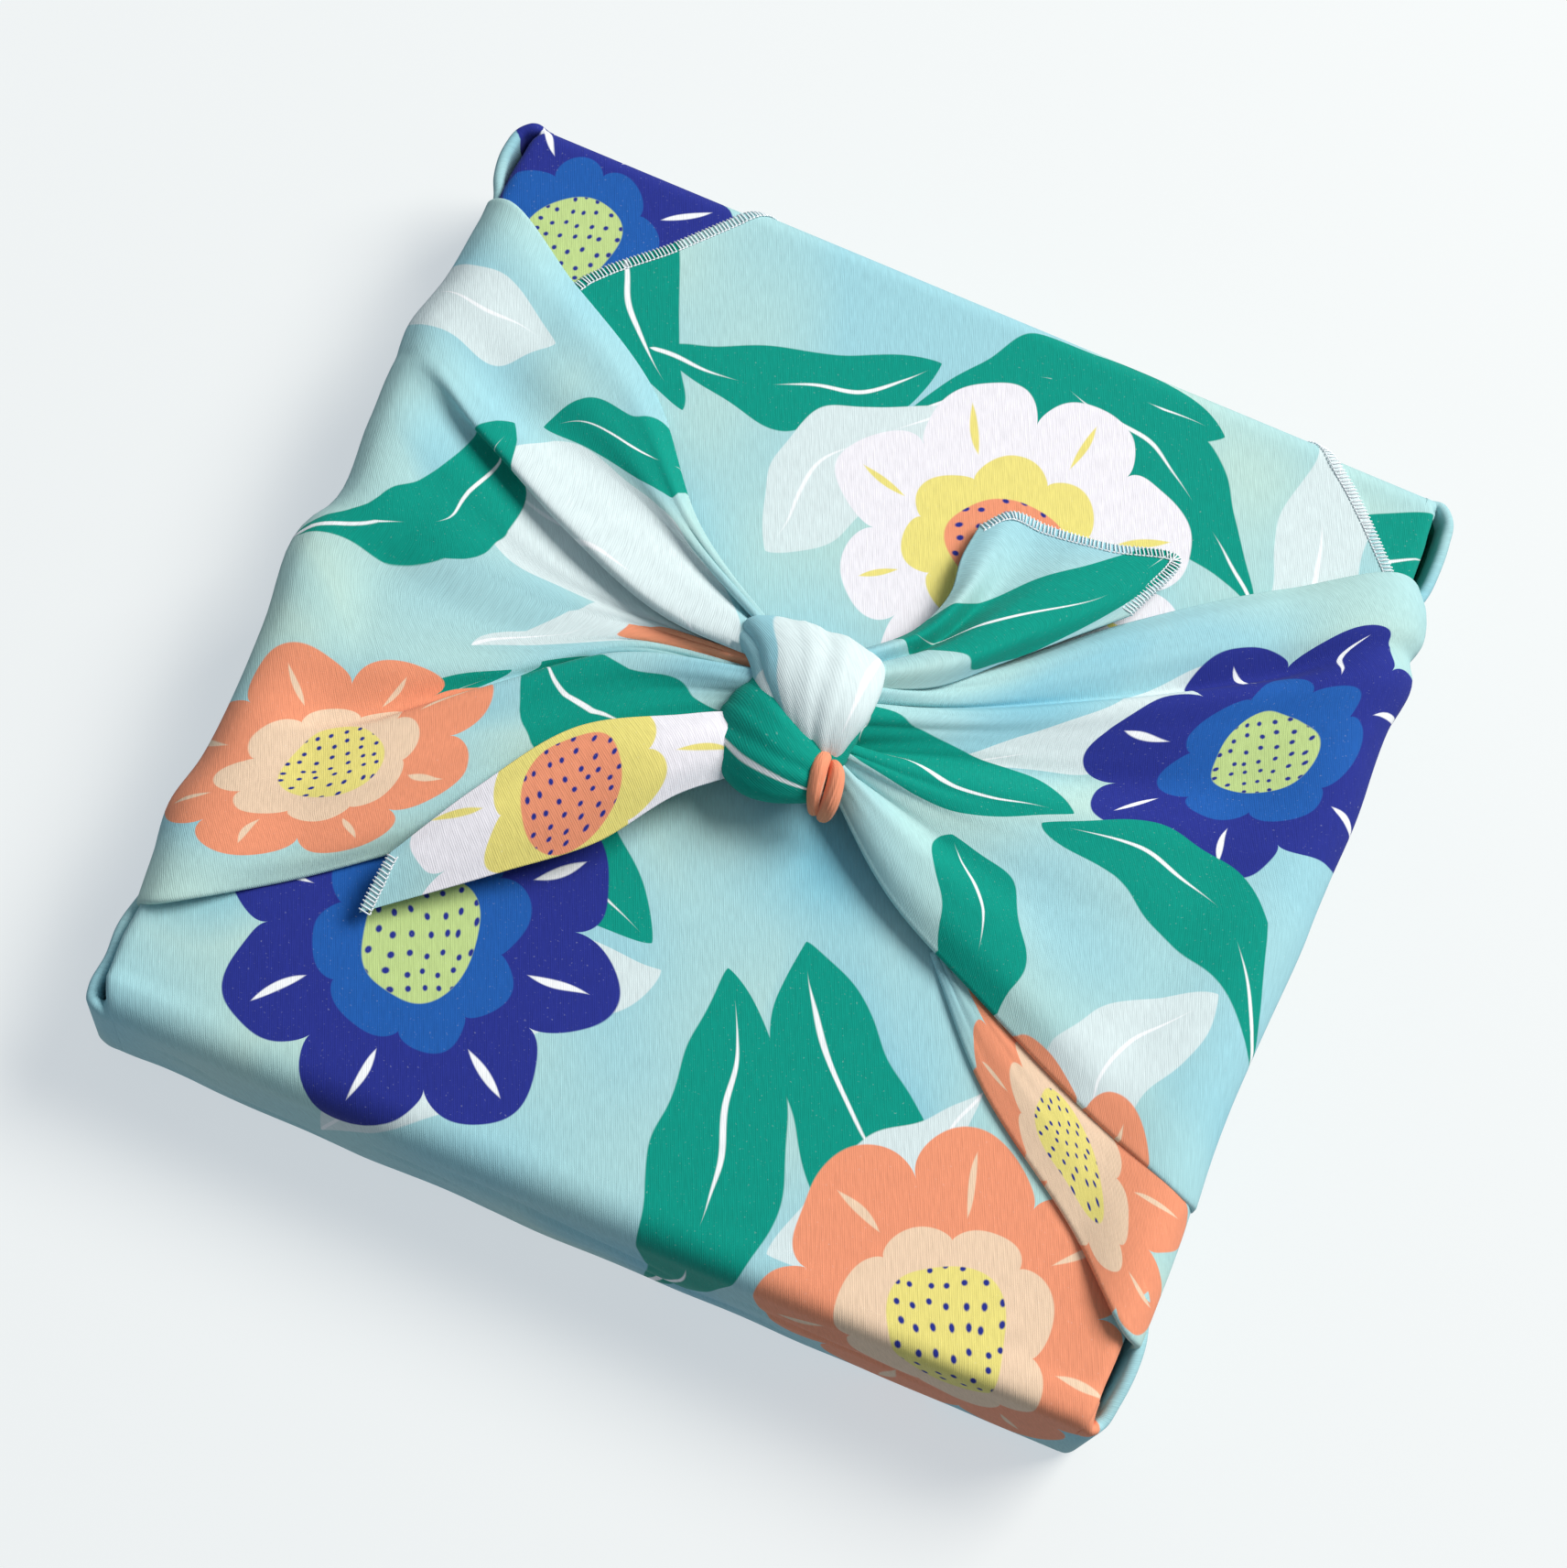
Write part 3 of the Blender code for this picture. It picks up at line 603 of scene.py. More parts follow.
def body_path():
    """The strip's own section as y and z, with its turns rounded and finer steps where it shows."""
    spots = [Vector((corner.y, corner.z)) for corner in BODY_PATH]
    path, reaches = [spots[0]], []
    for before, here, after, corner in zip(spots, spots[1:], spots[2:], BODY_PATH[1:]):
        back = (before - here).normalized() * corner.radius
        ahead = (after - here).normalized() * corner.radius
        for step in range(TURN_STEPS + 1 if corner.radius else 1):
            angle = step / TURN_STEPS * pi / 2
            path.append(here + back + ahead - ahead * cos(angle) - back * sin(angle))
            reaches.append(corner.reach)
    path.append(spots[-1])
    reaches.append(BODY_PATH[-1].reach)
    places = [path[0]]
    for start, finish, reach in zip(path, path[1:], reaches):
        pieces = max(1, round((finish - start).length / reach))
        places.extend(start.lerp(finish, (n + 1) / pieces) for n in range(pieces))
    return places


def ripple(x, y, seed, size):
    """Slow unevenness from -1 to 1, with that size in millimetres."""
    return noise.noise(Vector((x / size, y / size, seed)))


def ease(value, start, finish):
    """0 at the start, 1 at the finish and smooth between them."""
    share = min(1.0, max(0.0, (value - start) / (finish - start)))
    return share * share * (3 - 2 * share)


def side_tuck(tuck):
    """How the strip's side turns down at a fold: outward, downward and whole travel from the edge."""
    turn = min(1.0, tuck / FULL_TUCK) * pi / 2
    steps = []
    for step in range(1, SIDE_STEPS + 1):
        travel = (tuck + SPARE_TUCK) * step / SIDE_STEPS
        angle = min(travel / SIDE_ROLL, turn)
        rest = travel - angle * SIDE_ROLL
        out = SIDE_ROLL * sin(angle) + rest * cos(angle)
        down = SIDE_ROLL * (1 - cos(angle)) + rest * sin(angle)
        steps.append((out, down, travel))
    return steps


def turned_side(edge, mark, side, tuck, inward):
    """Points, and their places on the cloth, that carry a row on past its edge and down round the fold."""
    points, marks = [], []
    for out, down, travel in side_tuck(tuck):
        points.append((edge[0] + side * out, edge[1] + inward.x * down, edge[2] + inward.y * down))
        marks.append((mark[0] + side * travel, mark[1]))
    return points, marks


def near_turn(x):
    """Radius of the fold between the near wall and the top, which is sharper to the right."""
    return NEAR_TURN * (1 - NEAR_SHARPER * ease(x, -20, 90))


def near_section(x, travel):
    """The place on the near wall, its turn and the top, by the travel along them from the turn's middle."""
    radius = near_turn(x)
    travel *= 1 + (1 - pi / 4) * (NEAR_TURN - radius) / NEAR_REACH
    half_turn = radius * pi / 4
    if travel > half_turn:
        return NEAR_WALL + radius + travel - half_turn, UPPER
    if travel < -half_turn:
        return NEAR_WALL, UPPER - radius + travel + half_turn
    angle = pi * 3 / 4 - travel / radius
    return NEAR_WALL + radius * (1 + cos(angle)), UPPER - radius * (1 - sin(angle))


def crease_depth(x, z):
    """How far the near wall is drawn in at a place."""
    depth = 0.0
    for crease in NEAR_CREASES:
        share = (x - crease.start) / (crease.finish - crease.start)
        if 0 < share < 1:
            middle = crease.height_at_start + (crease.height_at_finish - crease.height_at_start) * share
            depth += crease.depth * sin(pi * share) * exp(-(((z - middle) / CREASE_HALF) ** 2))
    return depth


def near_wall_bulge(x, z):
    """How far the near wall stands out at a place: its bulge, and the waves above its foot."""
    swell = max(0.0, cos(pi * x / (2 * WALL_END))) * sin(pi * min(1.0, max(0.0, z / TOP)))
    uneven = WALL_WAVE * swell * ripple(x, z * 5, 3.0, 45)
    foot = ease(z, 0.5, 6) * (1 - ease(z, 12, 32)) * min(1.0, (WALL_END - abs(x)) / 8)
    return WALL_BULGE * swell + uneven + FOOT_WAVE * foot * ripple(x, 0, 8.0, 24)


def body_of_cloth(columns):
    """The grid of the whole strip and its places on the flat cloth, with that many columns across."""
    path = body_path()
    along = np.append(0, np.cumsum([(b - a).length for a, b in zip(path, path[1:])]))
    under = [n for n, p in enumerate(path) if p.y < BOTTOM + 0.01]
    middle = np.interp(0, [-path[n].x for n in under], along[under])
    over = next(n for n in range(under[-1], len(path)) if path[n].y > UPPER - 0.01)
    turn_middle = along[over] - NEAR_TURN * pi / 4
    start = {"far flap": along[0] - path[0].x, "near flap": along[over] - path[over].x}
    known = [middle - at.y if at.past == "underside" else start[at.past] + at.y for at in BODY_EDGES]
    grid, places = [], []
    for number, (spot, distance) in enumerate(zip(path, along)):
        low, high, low_tuck, high_tuck = [
            np.interp(distance, known, [getattr(at, field) for at in BODY_EDGES])
            for field in ("left", "right", "left_tuck", "right_tuck")
        ]
        way = (path[min(number + 1, len(path) - 1)] - path[max(number - 1, 0)]).normalized()
        # The cloth's inner side lies on one side of its way along the strip: under the top, behind the walls
        inward = Vector((way.y, -way.x))
        on_near_wall = spot.x < NEAR_WALL + 8 and spot.y > 1
        row, marks = [], []
        for x in np.linspace(low, high, columns):
            y, z = spot.x, spot.y
            if abs(distance - turn_middle) < NEAR_REACH:
                y, z = near_section(x, distance - turn_middle)
            if on_near_wall:
                y -= near_wall_bulge(x, z)
                y += crease_depth(x, z)
            if distance > along[over] and z > UPPER - 0.5:
                z += TOP_WAVE * ripple(x, y, 5.0, 60) * min(1.0, (x - low) / 20, (high - x) / 20)
                sag = ease(abs(x), 84, 122) * ease(-y, 92, 120)
                z -= NEAR_SAG * sag
            row.append((x, y, z))
            marks.append((x, distance - middle))
        left, left_marks = turned_side(row[0], marks[0], -1, low_tuck, inward)
        right, right_marks = turned_side(row[-1], marks[-1], 1, high_tuck, inward)
        grid.append([*left[::-1], *row, *right])
        places.append([*left_marks[::-1], *marks, *right_marks])
    return np.array(grid), np.array(places)


body_grid, body_places = body_of_cloth(140)
body = cloth_piece("body_of_the_cloth", body_grid, body_places)


# The corner folds
# Where the cloth turns a vertical corner of the box its slack stands off from the top's own fold in a narrow
# open pocket, and goes round on to the side wall under the flap.

# Places along each fold, as x, y and the height of its rim
CORNER_FOLDS = {
    "far_left": [
        (-120, FAR_WALL, 38), (-124.4, 127.8, 37.6), (-128, 125.2, 37), (-129.7, 118.7, 36.5),
        (-128.6, 110, 36), (-126.2, 104.4, 36), (-125.4, 96, 36),
    ],
    "far_right": [
        (120, FAR_WALL, 38), (124.6, 127.2, 37.4), (128.2, 124.2, 36.2), (129.4, 118, 35.4),
        (129.6, 110, 35), (129, 103, 35), (126.8, 96, 35),
    ],
    "near_left": [
        (-120, NEAR_WALL, 38), (-124, -126, 37), (-127, -124.6, 35.5), (-128.3, -121, 34.6),
        (-128, -113, 34.6), (-128.6, -106, 35), (-127, -96, 35.4),
    ],
    "near_right": [
        (120, NEAR_WALL, 38), (122.6, -125.8, 36), (125.2, -122.6, 34), (126.4, -117, 34.5),
        (127.2, -110, 35.5), (127, -102, 36), (125.4, -95, 36),
    ],
}
RIM = 1.0  # radius of a fold's rim
CLOSING = 7.0  # how far round the corner the cloth takes to close into a rim
FOLD_COLUMNS = 70
TOP_POINTS = 20  # of a fold's section, on its top, its wall and its foot
WALL_POINTS = 12
FOOT_POINTS = 10


def through(points, steps):
    """The smooth curve through the points, or the surface through whole rows, in steps for each span."""
    points = np.asarray(points, float)
    reach = np.linalg.norm(np.diff(points, axis=0), axis=-1, keepdims=True) + 1e-6
    slope = np.diff(points, axis=0) / reach
    middle = (slope[:-1] * reach[1:] + slope[1:] * reach[:-1]) / (reach[:-1] + reach[1:])
    slopes = np.concatenate([slope[:1], middle, slope[-1:]])
    curve = []
    for a, b, leave, arrive, span in zip(points, points[1:], slopes, slopes[1:], reach):
        for t in np.arange(steps) / steps:
            rise = t * t * (3 - 2 * t)
            out = t * (1 - t) ** 2
            back = -t * t * (1 - t)
            curve.append(a + (b - a) * rise + leave * span * out + arrive * span * back)
    return np.array([*curve, points[-1]])


def evenly(points, count):
    """Count places, evenly spaced, on the smooth curve through the points."""
    curve = through(points, 16)
    along = np.append(0, np.cumsum(np.linalg.norm(np.diff(curve, axis=0), axis=1)))
    at = np.linspace(0, along[-1], count)
    return np.stack([np.interp(at, along, curve[:, k]) for k in range(curve.shape[1])], axis=1)


def turn_points(centre, radius, start, finish):
    """Points, as depth and height, on a quarter or half turn; the angles are in degrees."""
    angles = np.radians(np.linspace(start, finish, 9))
    return [(centre[0] + radius * cos(a), centre[1] + radius * sin(a)) for a in angles]


def corner_fold(name, stations):
    """The slack at one corner: its section is open at the first station and closes to a rim further on."""
    outline = evenly(stations, FOLD_COLUMNS)
    plan, rims = outline[:, :2], outline[:, 2]
    way = np.gradient(plan, axis=0)
    way /= np.linalg.norm(way, axis=1, keepdims=True)
    out = np.stack([way[:, 1], -way[:, 0]], axis=1)
    out *= np.sign(np.sum(out * plan, axis=1, keepdims=True))
    along = np.append(0, np.cumsum(np.linalg.norm(np.diff(plan, axis=0), axis=1)))
    far = stations[0][1] > 0
    level = LOWER if far else UPPER - NEAR_SAG - 0.15
    radius = FAR_TURN if far else near_turn(stations[0][0])
    lean = FAR_LEAN if far else 0.0
    foot_turn = turn_points((lean + FOOT_TURN, BOTTOM + FOOT_TURN), FOOT_TURN, 180, 270)
    foot = [*foot_turn, (lean + 11, BOTTOM)]
    body_top = [(radius + 4, level), *turn_points((radius, level - radius), radius, 90, 180)]
    start_x, start_y = abs(stations[0][0]), abs(stations[0][1])
    columns, marks = [], []
    for spot, rim, face, distance in zip(plan, rims, out, along):
        rim_top = [(3.4, rim - 15), (2.6, rim - 5), *turn_points((RIM, rim - RIM), RIM, 0, 180)]
        closed = ease(distance, 0, CLOSING)
        parts = []
        for open_part, shut_part, count in (
            (body_top, rim_top, TOP_POINTS),
            ([body_top[-1], foot[0]], [rim_top[-1], foot[0]], WALL_POINTS),
            (foot, foot, FOOT_POINTS),
        ):
            part = evenly(open_part, count) * (1 - closed) + evenly(shut_part, count) * closed
            parts.append(part if not parts else part[1:])
        section = np.concatenate(parts)
        travel = np.append(0, np.cumsum(np.linalg.norm(np.diff(section, axis=0), axis=1)))
        columns.append(
            [(spot[0] - face[0] * depth, spot[1] - face[1] * depth, height) for depth, height in section]
        )
        reach = start_y - lean - (2 - pi / 2) * FOOT_TURN
        wall_top = travel[TOP_POINTS - 1]
        climbed = reach + body_top[-1][1] - BOTTOM + wall_top - travel
        across = np.sign(spot[0]) * (start_x + distance)
        marks.append([(across, -mark if far else mark) for mark in climbed])
    grid = np.array(columns).transpose(1, 0, 2)
    places = np.array(marks).transpose(1, 0, 2)
    piece = cloth_piece(f"corner_fold_{name}", grid, places)


for name, stations in CORNER_FOLDS.items():
    corner_fold(name, stations)


# The left flap
# The left corner of the cloth, gathered in a fan of soft pleats: it rises from the floor edge, covers the
# side wall and runs over the top into the knot. Its two long edges are folded under.
Fold = namedtuple("Fold", "foot edge way knot")
LEFT_KNOT_X = -13.0
LEFT_FOLDS = [
    Fold(121, (-127, 101), ((-97.5, 87, 41.4), (-69.6, 69.3, 42), (-44.5, 39.5, 44)), (16.5, 50)),
    Fold(116, (-127, 94), ((-97, 81, 43.4), (-71, 64, 44.2), (-46, 38.4, 46.3)), (16.2, 52.5)),
    Fold(95, (-128, 77), ((-97, 66, 43.6), (-72, 54, 44.8), (-46, 35.6, 46.8)), (15.8, 54)),
    Fold(70, (-131, 60), ((-97, 48.4, 42), (-66, 41.7, 43), (-40, 30.4, 45.6)), (15, 49.5)),
    Fold(64, (-130.5, 55.5), ((-99, 43.5, 44.6), (-68, 31, 46), (-42, 21.5, 48.6)), (14, 54.8)),
    Fold(60, (-130, 52.5), ((-100, 38.4, 45.5), (-72, 24, 47.8), (-42, 12.6, 50.8)), (10.8, 55.6)),
    Fold(58, (-130, 49.5), ((-100, 39.4, 42.2), (-72, 25.8, 42.8), (-42, 15, 45)), (11, 49.4)),
    Fold(44, (-129, 34), ((-105, 27, 42.8), (-72, 14.5, 43.6), (-42, 12, 45.4)), (10, 50.5)),
    Fold(10, (-128.5, 9), ((-105, 6.5, 44.2), (-72, 4.5, 45), (-42, 8.9, 46.2)), (9, 53.6)),
    Fold(6, (-130.8, 5), ((-106, -1.5, 42.9), (-74, -4, 44.6), (-43, 6.8, 46.2)), (7.9, 50)),
    Fold(-22, (-129.5, -26), ((-102, -26, 44.6), (-75, -15, 44.6), (-45, 4.2, 45.8)), (7.4, 51.5)),
    Fold(-44, (-128.4, -46), ((-104, -43.5, 43.4), (-76, -21.5, 43.3), (-47, 1.6, 45)), (6.6, 50)),
    Fold(-50, (-128.3, -51), ((-104, -46.8, 45), (-76, -24.5, 48), (-47, -1.8, 50.8)), (6.2, 55.8)),
    Fold(-62, (-128.5, -62), ((-100, -55, 46.2), (-70, -29, 48.4), (-38, -4, 50.4)), (3.2, 55.2)),
    Fold(-82, (-130.6, -75), ((-98, -66, 45.2), (-66, -38, 48), (-36, -11, 50.4)), (0.6, 50.5)),
    Fold(-108, (-128.2, -90), ((-96, -76.5, 43.8), (-66, -50, 46), (-36, -22.5, 48.4)), (-8, 51)),
    Fold(-119, (-127, -99), ((-100, -83.3, 41.4), (-72, -60.5, 42.4), (-40, -33, 45)), (-12.5, 49)),
]
# How a side flap climbs the wall: out is the distance past the parcel's half width, lean the share of the
# outline's own bulge, turn the share of the way from the foot's y to the edge's, and height above the floor
Climb = namedtuple("Climb", "out lean turn height")
FLAP_CLIMB = [
    Climb(-8, 0, 0, 0.45),
    Climb(-1.5, 0, 0, 0.45),
    Climb(1.4, 0, 0, 2.6),
    Climb(1, 0.5, 0.2, 9),
    Climb(0, 1, 0.65, 24),
    Climb(0, 1, 1, 35.5),
    Climb(-0.3, 1, 1, 38.4),
    Climb(-2.4, 1, 1, 41.2),
]
ROLL_RADIUS = 0.55  # of a folded edge
ROLL_ANGLES = (40, 80, 120, 160, 180)
RETURN_STEPS = (1.5, 4.0, 9.0)  # how far the cloth under a folded edge goes back in
RETURN_SHARE = 0.6  # or at most that share of the room it has there
EDGE_FOLDS = 3  # a rolled edge turns away from the fold that many places in
# Fine pleats that run into the knot: the size of the wide and the narrow ones on the flap's foot
WIDE_PLEAT = 16
NARROW_PLEAT = 7
# Across the fan the print is half gathered and half hidden in the pleats, from that far along the flap
GATHER_FROM = 40
GATHER_LENGTH = 110
GATHER_SHARE = 0.55


def rolled_edge(grid, row, inner):
    """Rows that roll the cloth under along one of the grid's edges, with the return below it."""
    edge, beside = grid[row], grid[inner]
    way = np.gradient(edge, axis=0)
    way /= np.linalg.norm(way, axis=1, keepdims=True) + 1e-9
    out = edge - beside
    out -= way * np.sum(out * way, axis=1, keepdims=True)
    room_for_return = RETURN_SHARE * np.linalg.norm(out, axis=1, keepdims=True)
    out /= np.linalg.norm(out, axis=1, keepdims=True) + 1e-9
    # Most of an edge lies on the top, so its outer face is the one that looks up there
    face = np.cross(way, out)
    face *= np.sign(face[:, 2].sum())
    rows = []
    for angle in np.radians(ROLL_ANGLES):
        rows.append(edge + out * ROLL_RADIUS * sin(angle) - face * ROLL_RADIUS * (1 - cos(angle)))
    for back in RETURN_STEPS:
        rows.append(edge - out * np.minimum(back, room_for_return) - face * 2 * ROLL_RADIUS)
    rows = np.array(rows)
    on_top = (np.abs(rows[..., 0]) < HALF - 3) & (rows[..., 2] > TOP / 2)
    rows[..., 2] = np.maximum(rows[..., 2], np.where(on_top, TOP + CLOTH / 2 + 0.05, BOTTOM))
    return rows


def pleat_lift(feet, columns, depth):
    """How far the fine pleats lift each place of a flap: more towards the knot, and not at its edges."""
    rows = len(feet)
    lift = np.zeros((rows, columns))
    for row, foot in enumerate(feet):
        edge_fade = min(1.0, row / 8, (rows - 1 - row) / 8)
        for column in range(columns):
            share = column / (columns - 1)
            wide = noise.noise(Vector((foot / WIDE_PLEAT, share * 2.2, 7.0)))
            narrow = noise.noise(Vector((foot / NARROW_PLEAT, share * 3.0, 2.0)))
            lift[row, column] = edge_fade * depth * (share**1.5 * wide + share**3 * narrow * 0.6)
    return lift


def gathered_flap(folds, knot_x, along_count, steps, pleat_depth):
    """The grid of a side flap and its places on the flat cloth."""
    side = 1 if folds[0].edge[0] > 0 else -1
    rows = []
    for fold in folds:
        edge_x, edge_y = fold.edge
        bulge = side * edge_x - CLOTH / 2 - HALF
        climb = [
            (side * (HALF + at.out + bulge * at.lean), fold.foot + (edge_y - fold.foot) * at.turn, at.height)
            for at in FLAP_CLIMB
        ]
        rows.append(evenly([*climb, *fold.way, (knot_x, *fold.knot)], along_count))
    grid = through(np.array(rows), steps)
    feet = through([(fold.foot, 0) for fold in folds], steps)[:, 0]
    distance = np.cumsum(np.linalg.norm(np.diff(grid, axis=1, prepend=grid[:, :1]), axis=2), axis=1)
    lift = pleat_lift(feet, grid.shape[1], pleat_depth)
    across = np.gradient(grid, axis=0)
    down = np.gradient(grid, axis=1)
    face = np.cross(across, down)
    face /= np.linalg.norm(face, axis=2, keepdims=True) + 1e-9
    face *= np.where(np.sum(face * np.array([0.3 * side, 0, 1]), axis=2, keepdims=True) < 0, -1, 1)
    grid = grid + face * lift[..., None]
    width = np.cumsum(np.linalg.norm(np.diff(grid, axis=0, prepend=grid[:1]), axis=2), axis=0)
    middle = len(folds) // 2 * steps
    laid = feet[middle] - (width - width[middle])
    share = np.clip((distance - GATHER_FROM) / GATHER_LENGTH, 0, 1)
    side_place = feet[:, None] * (1 - GATHER_SHARE * share) + laid * GATHER_SHARE * share
    places = np.stack([side * (HALF - 8 + distance), -side_place], axis=-1)
    inner = min(EDGE_FOLDS, len(folds) - 1) * steps
    first = rolled_edge(grid, 0, inner)[::-1]
    last = rolled_edge(grid, -1, -1 - inner)
    ends = []
    for rows, at, sign in ((first, places[0], 1), (last, places[-1], -1)):
        base = grid[0] if sign == 1 else grid[-1]
        off = np.linalg.norm(rows - base, axis=2)
        ends.append(np.stack([np.broadcast_to(at[:, 0], off.shape), at[:, 1] - sign * off], axis=-1))
    return np.concatenate([first, grid, last]), np.concatenate([ends[0], places, ends[1]])


left_grid, left_places = gathered_flap(LEFT_FOLDS, LEFT_KNOT_X, 190, 8, 1.3)
left_flap = cloth_piece("left_flap", left_grid, left_places)


# The right flap and the fold under it
# The right corner of the cloth, gathered in the same way. Below its lower edge a fold of its slack lies on
# the near flap and ends under the flap.
RIGHT_KNOT_X = 8.0
RIGHT_FOLDS = [
    Fold(120, (126.5, 101), ((95, 85.2, 41.5), (62, 59.7, 42.8), (34, 34, 45)), (17, 50)),
    Fold(115, (129.5, 97), ((95, 80.4, 44.4), (60, 53, 46), (32, 28.5, 48.2)), (15, 53)),
    Fold(98, (131.8, 88), ((95, 69.5, 45.8), (60, 44.8, 47.2), (32, 24, 49.2)), (13, 54.2)),
    Fold(80, (130.4, 82), ((100, 61.2, 43), (62, 37.4, 44.2), (34, 21.6, 47.2)), (9.8, 50)),
    Fold(77, (132.5, 77.5), ((100, 59, 46.3), (62, 35, 48.4), (34, 18.6, 50.8)), (8.2, 55.2)),
    Fold(60, (131, 63), ((98, 46, 45.8), (62, 27.4, 47.6), (34, 14.2, 50.2)), (2.4, 54.8)),
    Fold(36, (131.2, 36), ((98, 27.8, 42.9), (62, 15.4, 44.4), (34, 7.6, 47.6)), (-3, 49.8)),
    Fold(20, (130.2, 20), ((98, 16, 45.3), (62, 6.9, 47.8), (34, 0.2, 50.2)), (-3.4, 54.6)),
    Fold(-4, (129.6, 2), ((98, -2.2, 45.7), (62, -4.3, 47.6), (34, -5.8, 49.8)), (-4.4, 54.2)),
    Fold(-26, (127.6, -26), ((98, -26.4, 45), (62, -18.8, 45.8), (34, -10.6, 46.8)), (-5.2, 50.8)),
    Fold(-40, (126.8, -43), ((98, -39, 45.2), (62, -27, 47.4), (34, -17.2, 49.6)), (-5.8, 53.6)),
    Fold(-52, (126.8, -58), ((98, -52.4, 45), (62, -37.2, 46.8), (34, -25.2, 48.6)), (-6.8, 52)),
    Fold(-58, (127.2, -68), ((98, -59, 43.5), (62, -42.8, 44.2), (34, -29.2, 46)), (-8.2, 50.2)),
]
right_grid, right_places = gathered_flap(RIGHT_FOLDS, RIGHT_KNOT_X, 190, 9, 1.2)
right_flap = cloth_piece("right_flap", right_grid, right_places)

UNDER_END_X = 48.0
UNDER_FOLDS = [
    Fold(-50, (126.2, -59), ((98, -52.5, 41.3), (70, -42.5, 41.4)), (-32.5, 41.4)),
    Fold(-88, (126.6, -84), ((100, -70.5, 42.6), (72, -52.5, 42.6)), (-34.6, 41.8)),
    Fold(-119, (126.2, -103), ((102, -84.5, 41.3), (70, -61, 41.4)), (-36.6, 41.4)),
]
under_grid, under_places = gathered_flap(UNDER_FOLDS, UNDER_END_X, 140, 24, 0.5)
under_fold = cloth_piece("under_fold", under_grid, under_places)


# The knot
# The left and right corners cross and are pulled tight: a broad band lies over the knot from the far side, a
# rounded loop comes out below it, and a small fold is caught between the loop and the right flap.

# Each band is a row of stations along it: the places of its two sides, and its crown between them
Station = namedtuple("Station", "one_side other_side crown")
Band = namedtuple("Band", "stations corner crumple")
KNOT_BANDS = {
    "knot_core": Band(
        [
            Station((-17, 10, 50), (-17, -10, 50), 6),
            Station((-8, 16, 52), (-8, -16, 52), 9),
            Station((2, 16, 52), (2, -16, 52), 9),
            Station((12, 10, 50), (12, -10, 50), 6),
        ],
        (-330, 20),
        0.3,
    ),
    "knot_band_inner": Band(
        [
            Station((-24.6, 15.5, 47), (8, 20, 47), 3),
            Station((-24.4, 13.6, 52), (8, 17, 54), 4),
            Station((-18.6, 7.4, 55.5), (8, 9, 58), 5),
            Station((-14, 0.4, 56.5), (8, 1, 59), 5),
            Station((-7.4, -5.8, 55.5), (7, -4, 57), 4),
            Station((0.6, -8.2, 52), (7.6, -8, 53), 2.4),
        ],
        (318, -60),
        0.3,
    ),
    "knot_band": Band(
        [
            Station((-23.4, 17, 45), (10.6, 20, 45), 3.5),
            Station((-23.6, 16.4, 53.5), (11.8, 18.6, 54), 5.5),
            Station((-17.6, 9.8, 57.6), (13, 11.6, 58.4), 6.2),
            Station((-13, 2.6, 58.6), (12.6, 3, 59.4), 6),
            Station((-6.4, -3.6, 57.6), (10.9, -2.6, 57.6), 4.8),
            Station((1.8, -6.6, 54.6), (9.8, -6.2, 54), 3),
            Station((7.6, -9.8, 48.5), (9.2, -9.6, 48.4), 1),
        ],
        (330, -40),
        0.5,
    ),
    "knot_loop": Band(
        [
            Station((-15.4, 1, 48), (-16, -13, 46), 3),
            Station((-14.6, 4, 54), (-15, -18, 48.5), 6),
            Station((-9, 3, 57), (-9, -21.6, 49.5), 7.5),
            Station((-2, -2, 57.6), (-1, -21.4, 50.5), 7.5),
            Station((4, -5, 56), (5, -18.6, 50), 6),
            Station((8, -7, 51), (8.6, -15.4, 47.5), 3.4),
        ],
        (-336, 14),
        0.45,
    ),
    "knot_small_fold": Band(
        [
            Station((5, -6.4, 56), (8.4, -7, 56), 1.6),
            Station((4.6, -11, 58.6), (8.6, -11.4, 59.2), 2.4),
            Station((5.6, -16, 57), (9.4, -16, 57.2), 2.4),
            Station((8, -20.4, 50), (10.8, -19, 50), 1.6),
        ],
        (-398, -88),
        0.2,
    ),
    "knot_small_fold_outer": Band(
        [
            Station((7.6, -8, 56), (10.2, -7.6, 56), 1.6),
            Station((9.2, -12.2, 58.6), (13, -12, 57.6), 2.6),
            Station((9.8, -16.6, 57), (14, -16.4, 56), 2.8),
            Station((10, -20.4, 49), (13.4, -19.4, 49), 1.6),
        ],
        (-392, -84),
        0.2,
    ),
}


BAND_ROWS = 72
BAND_AROUND = 80


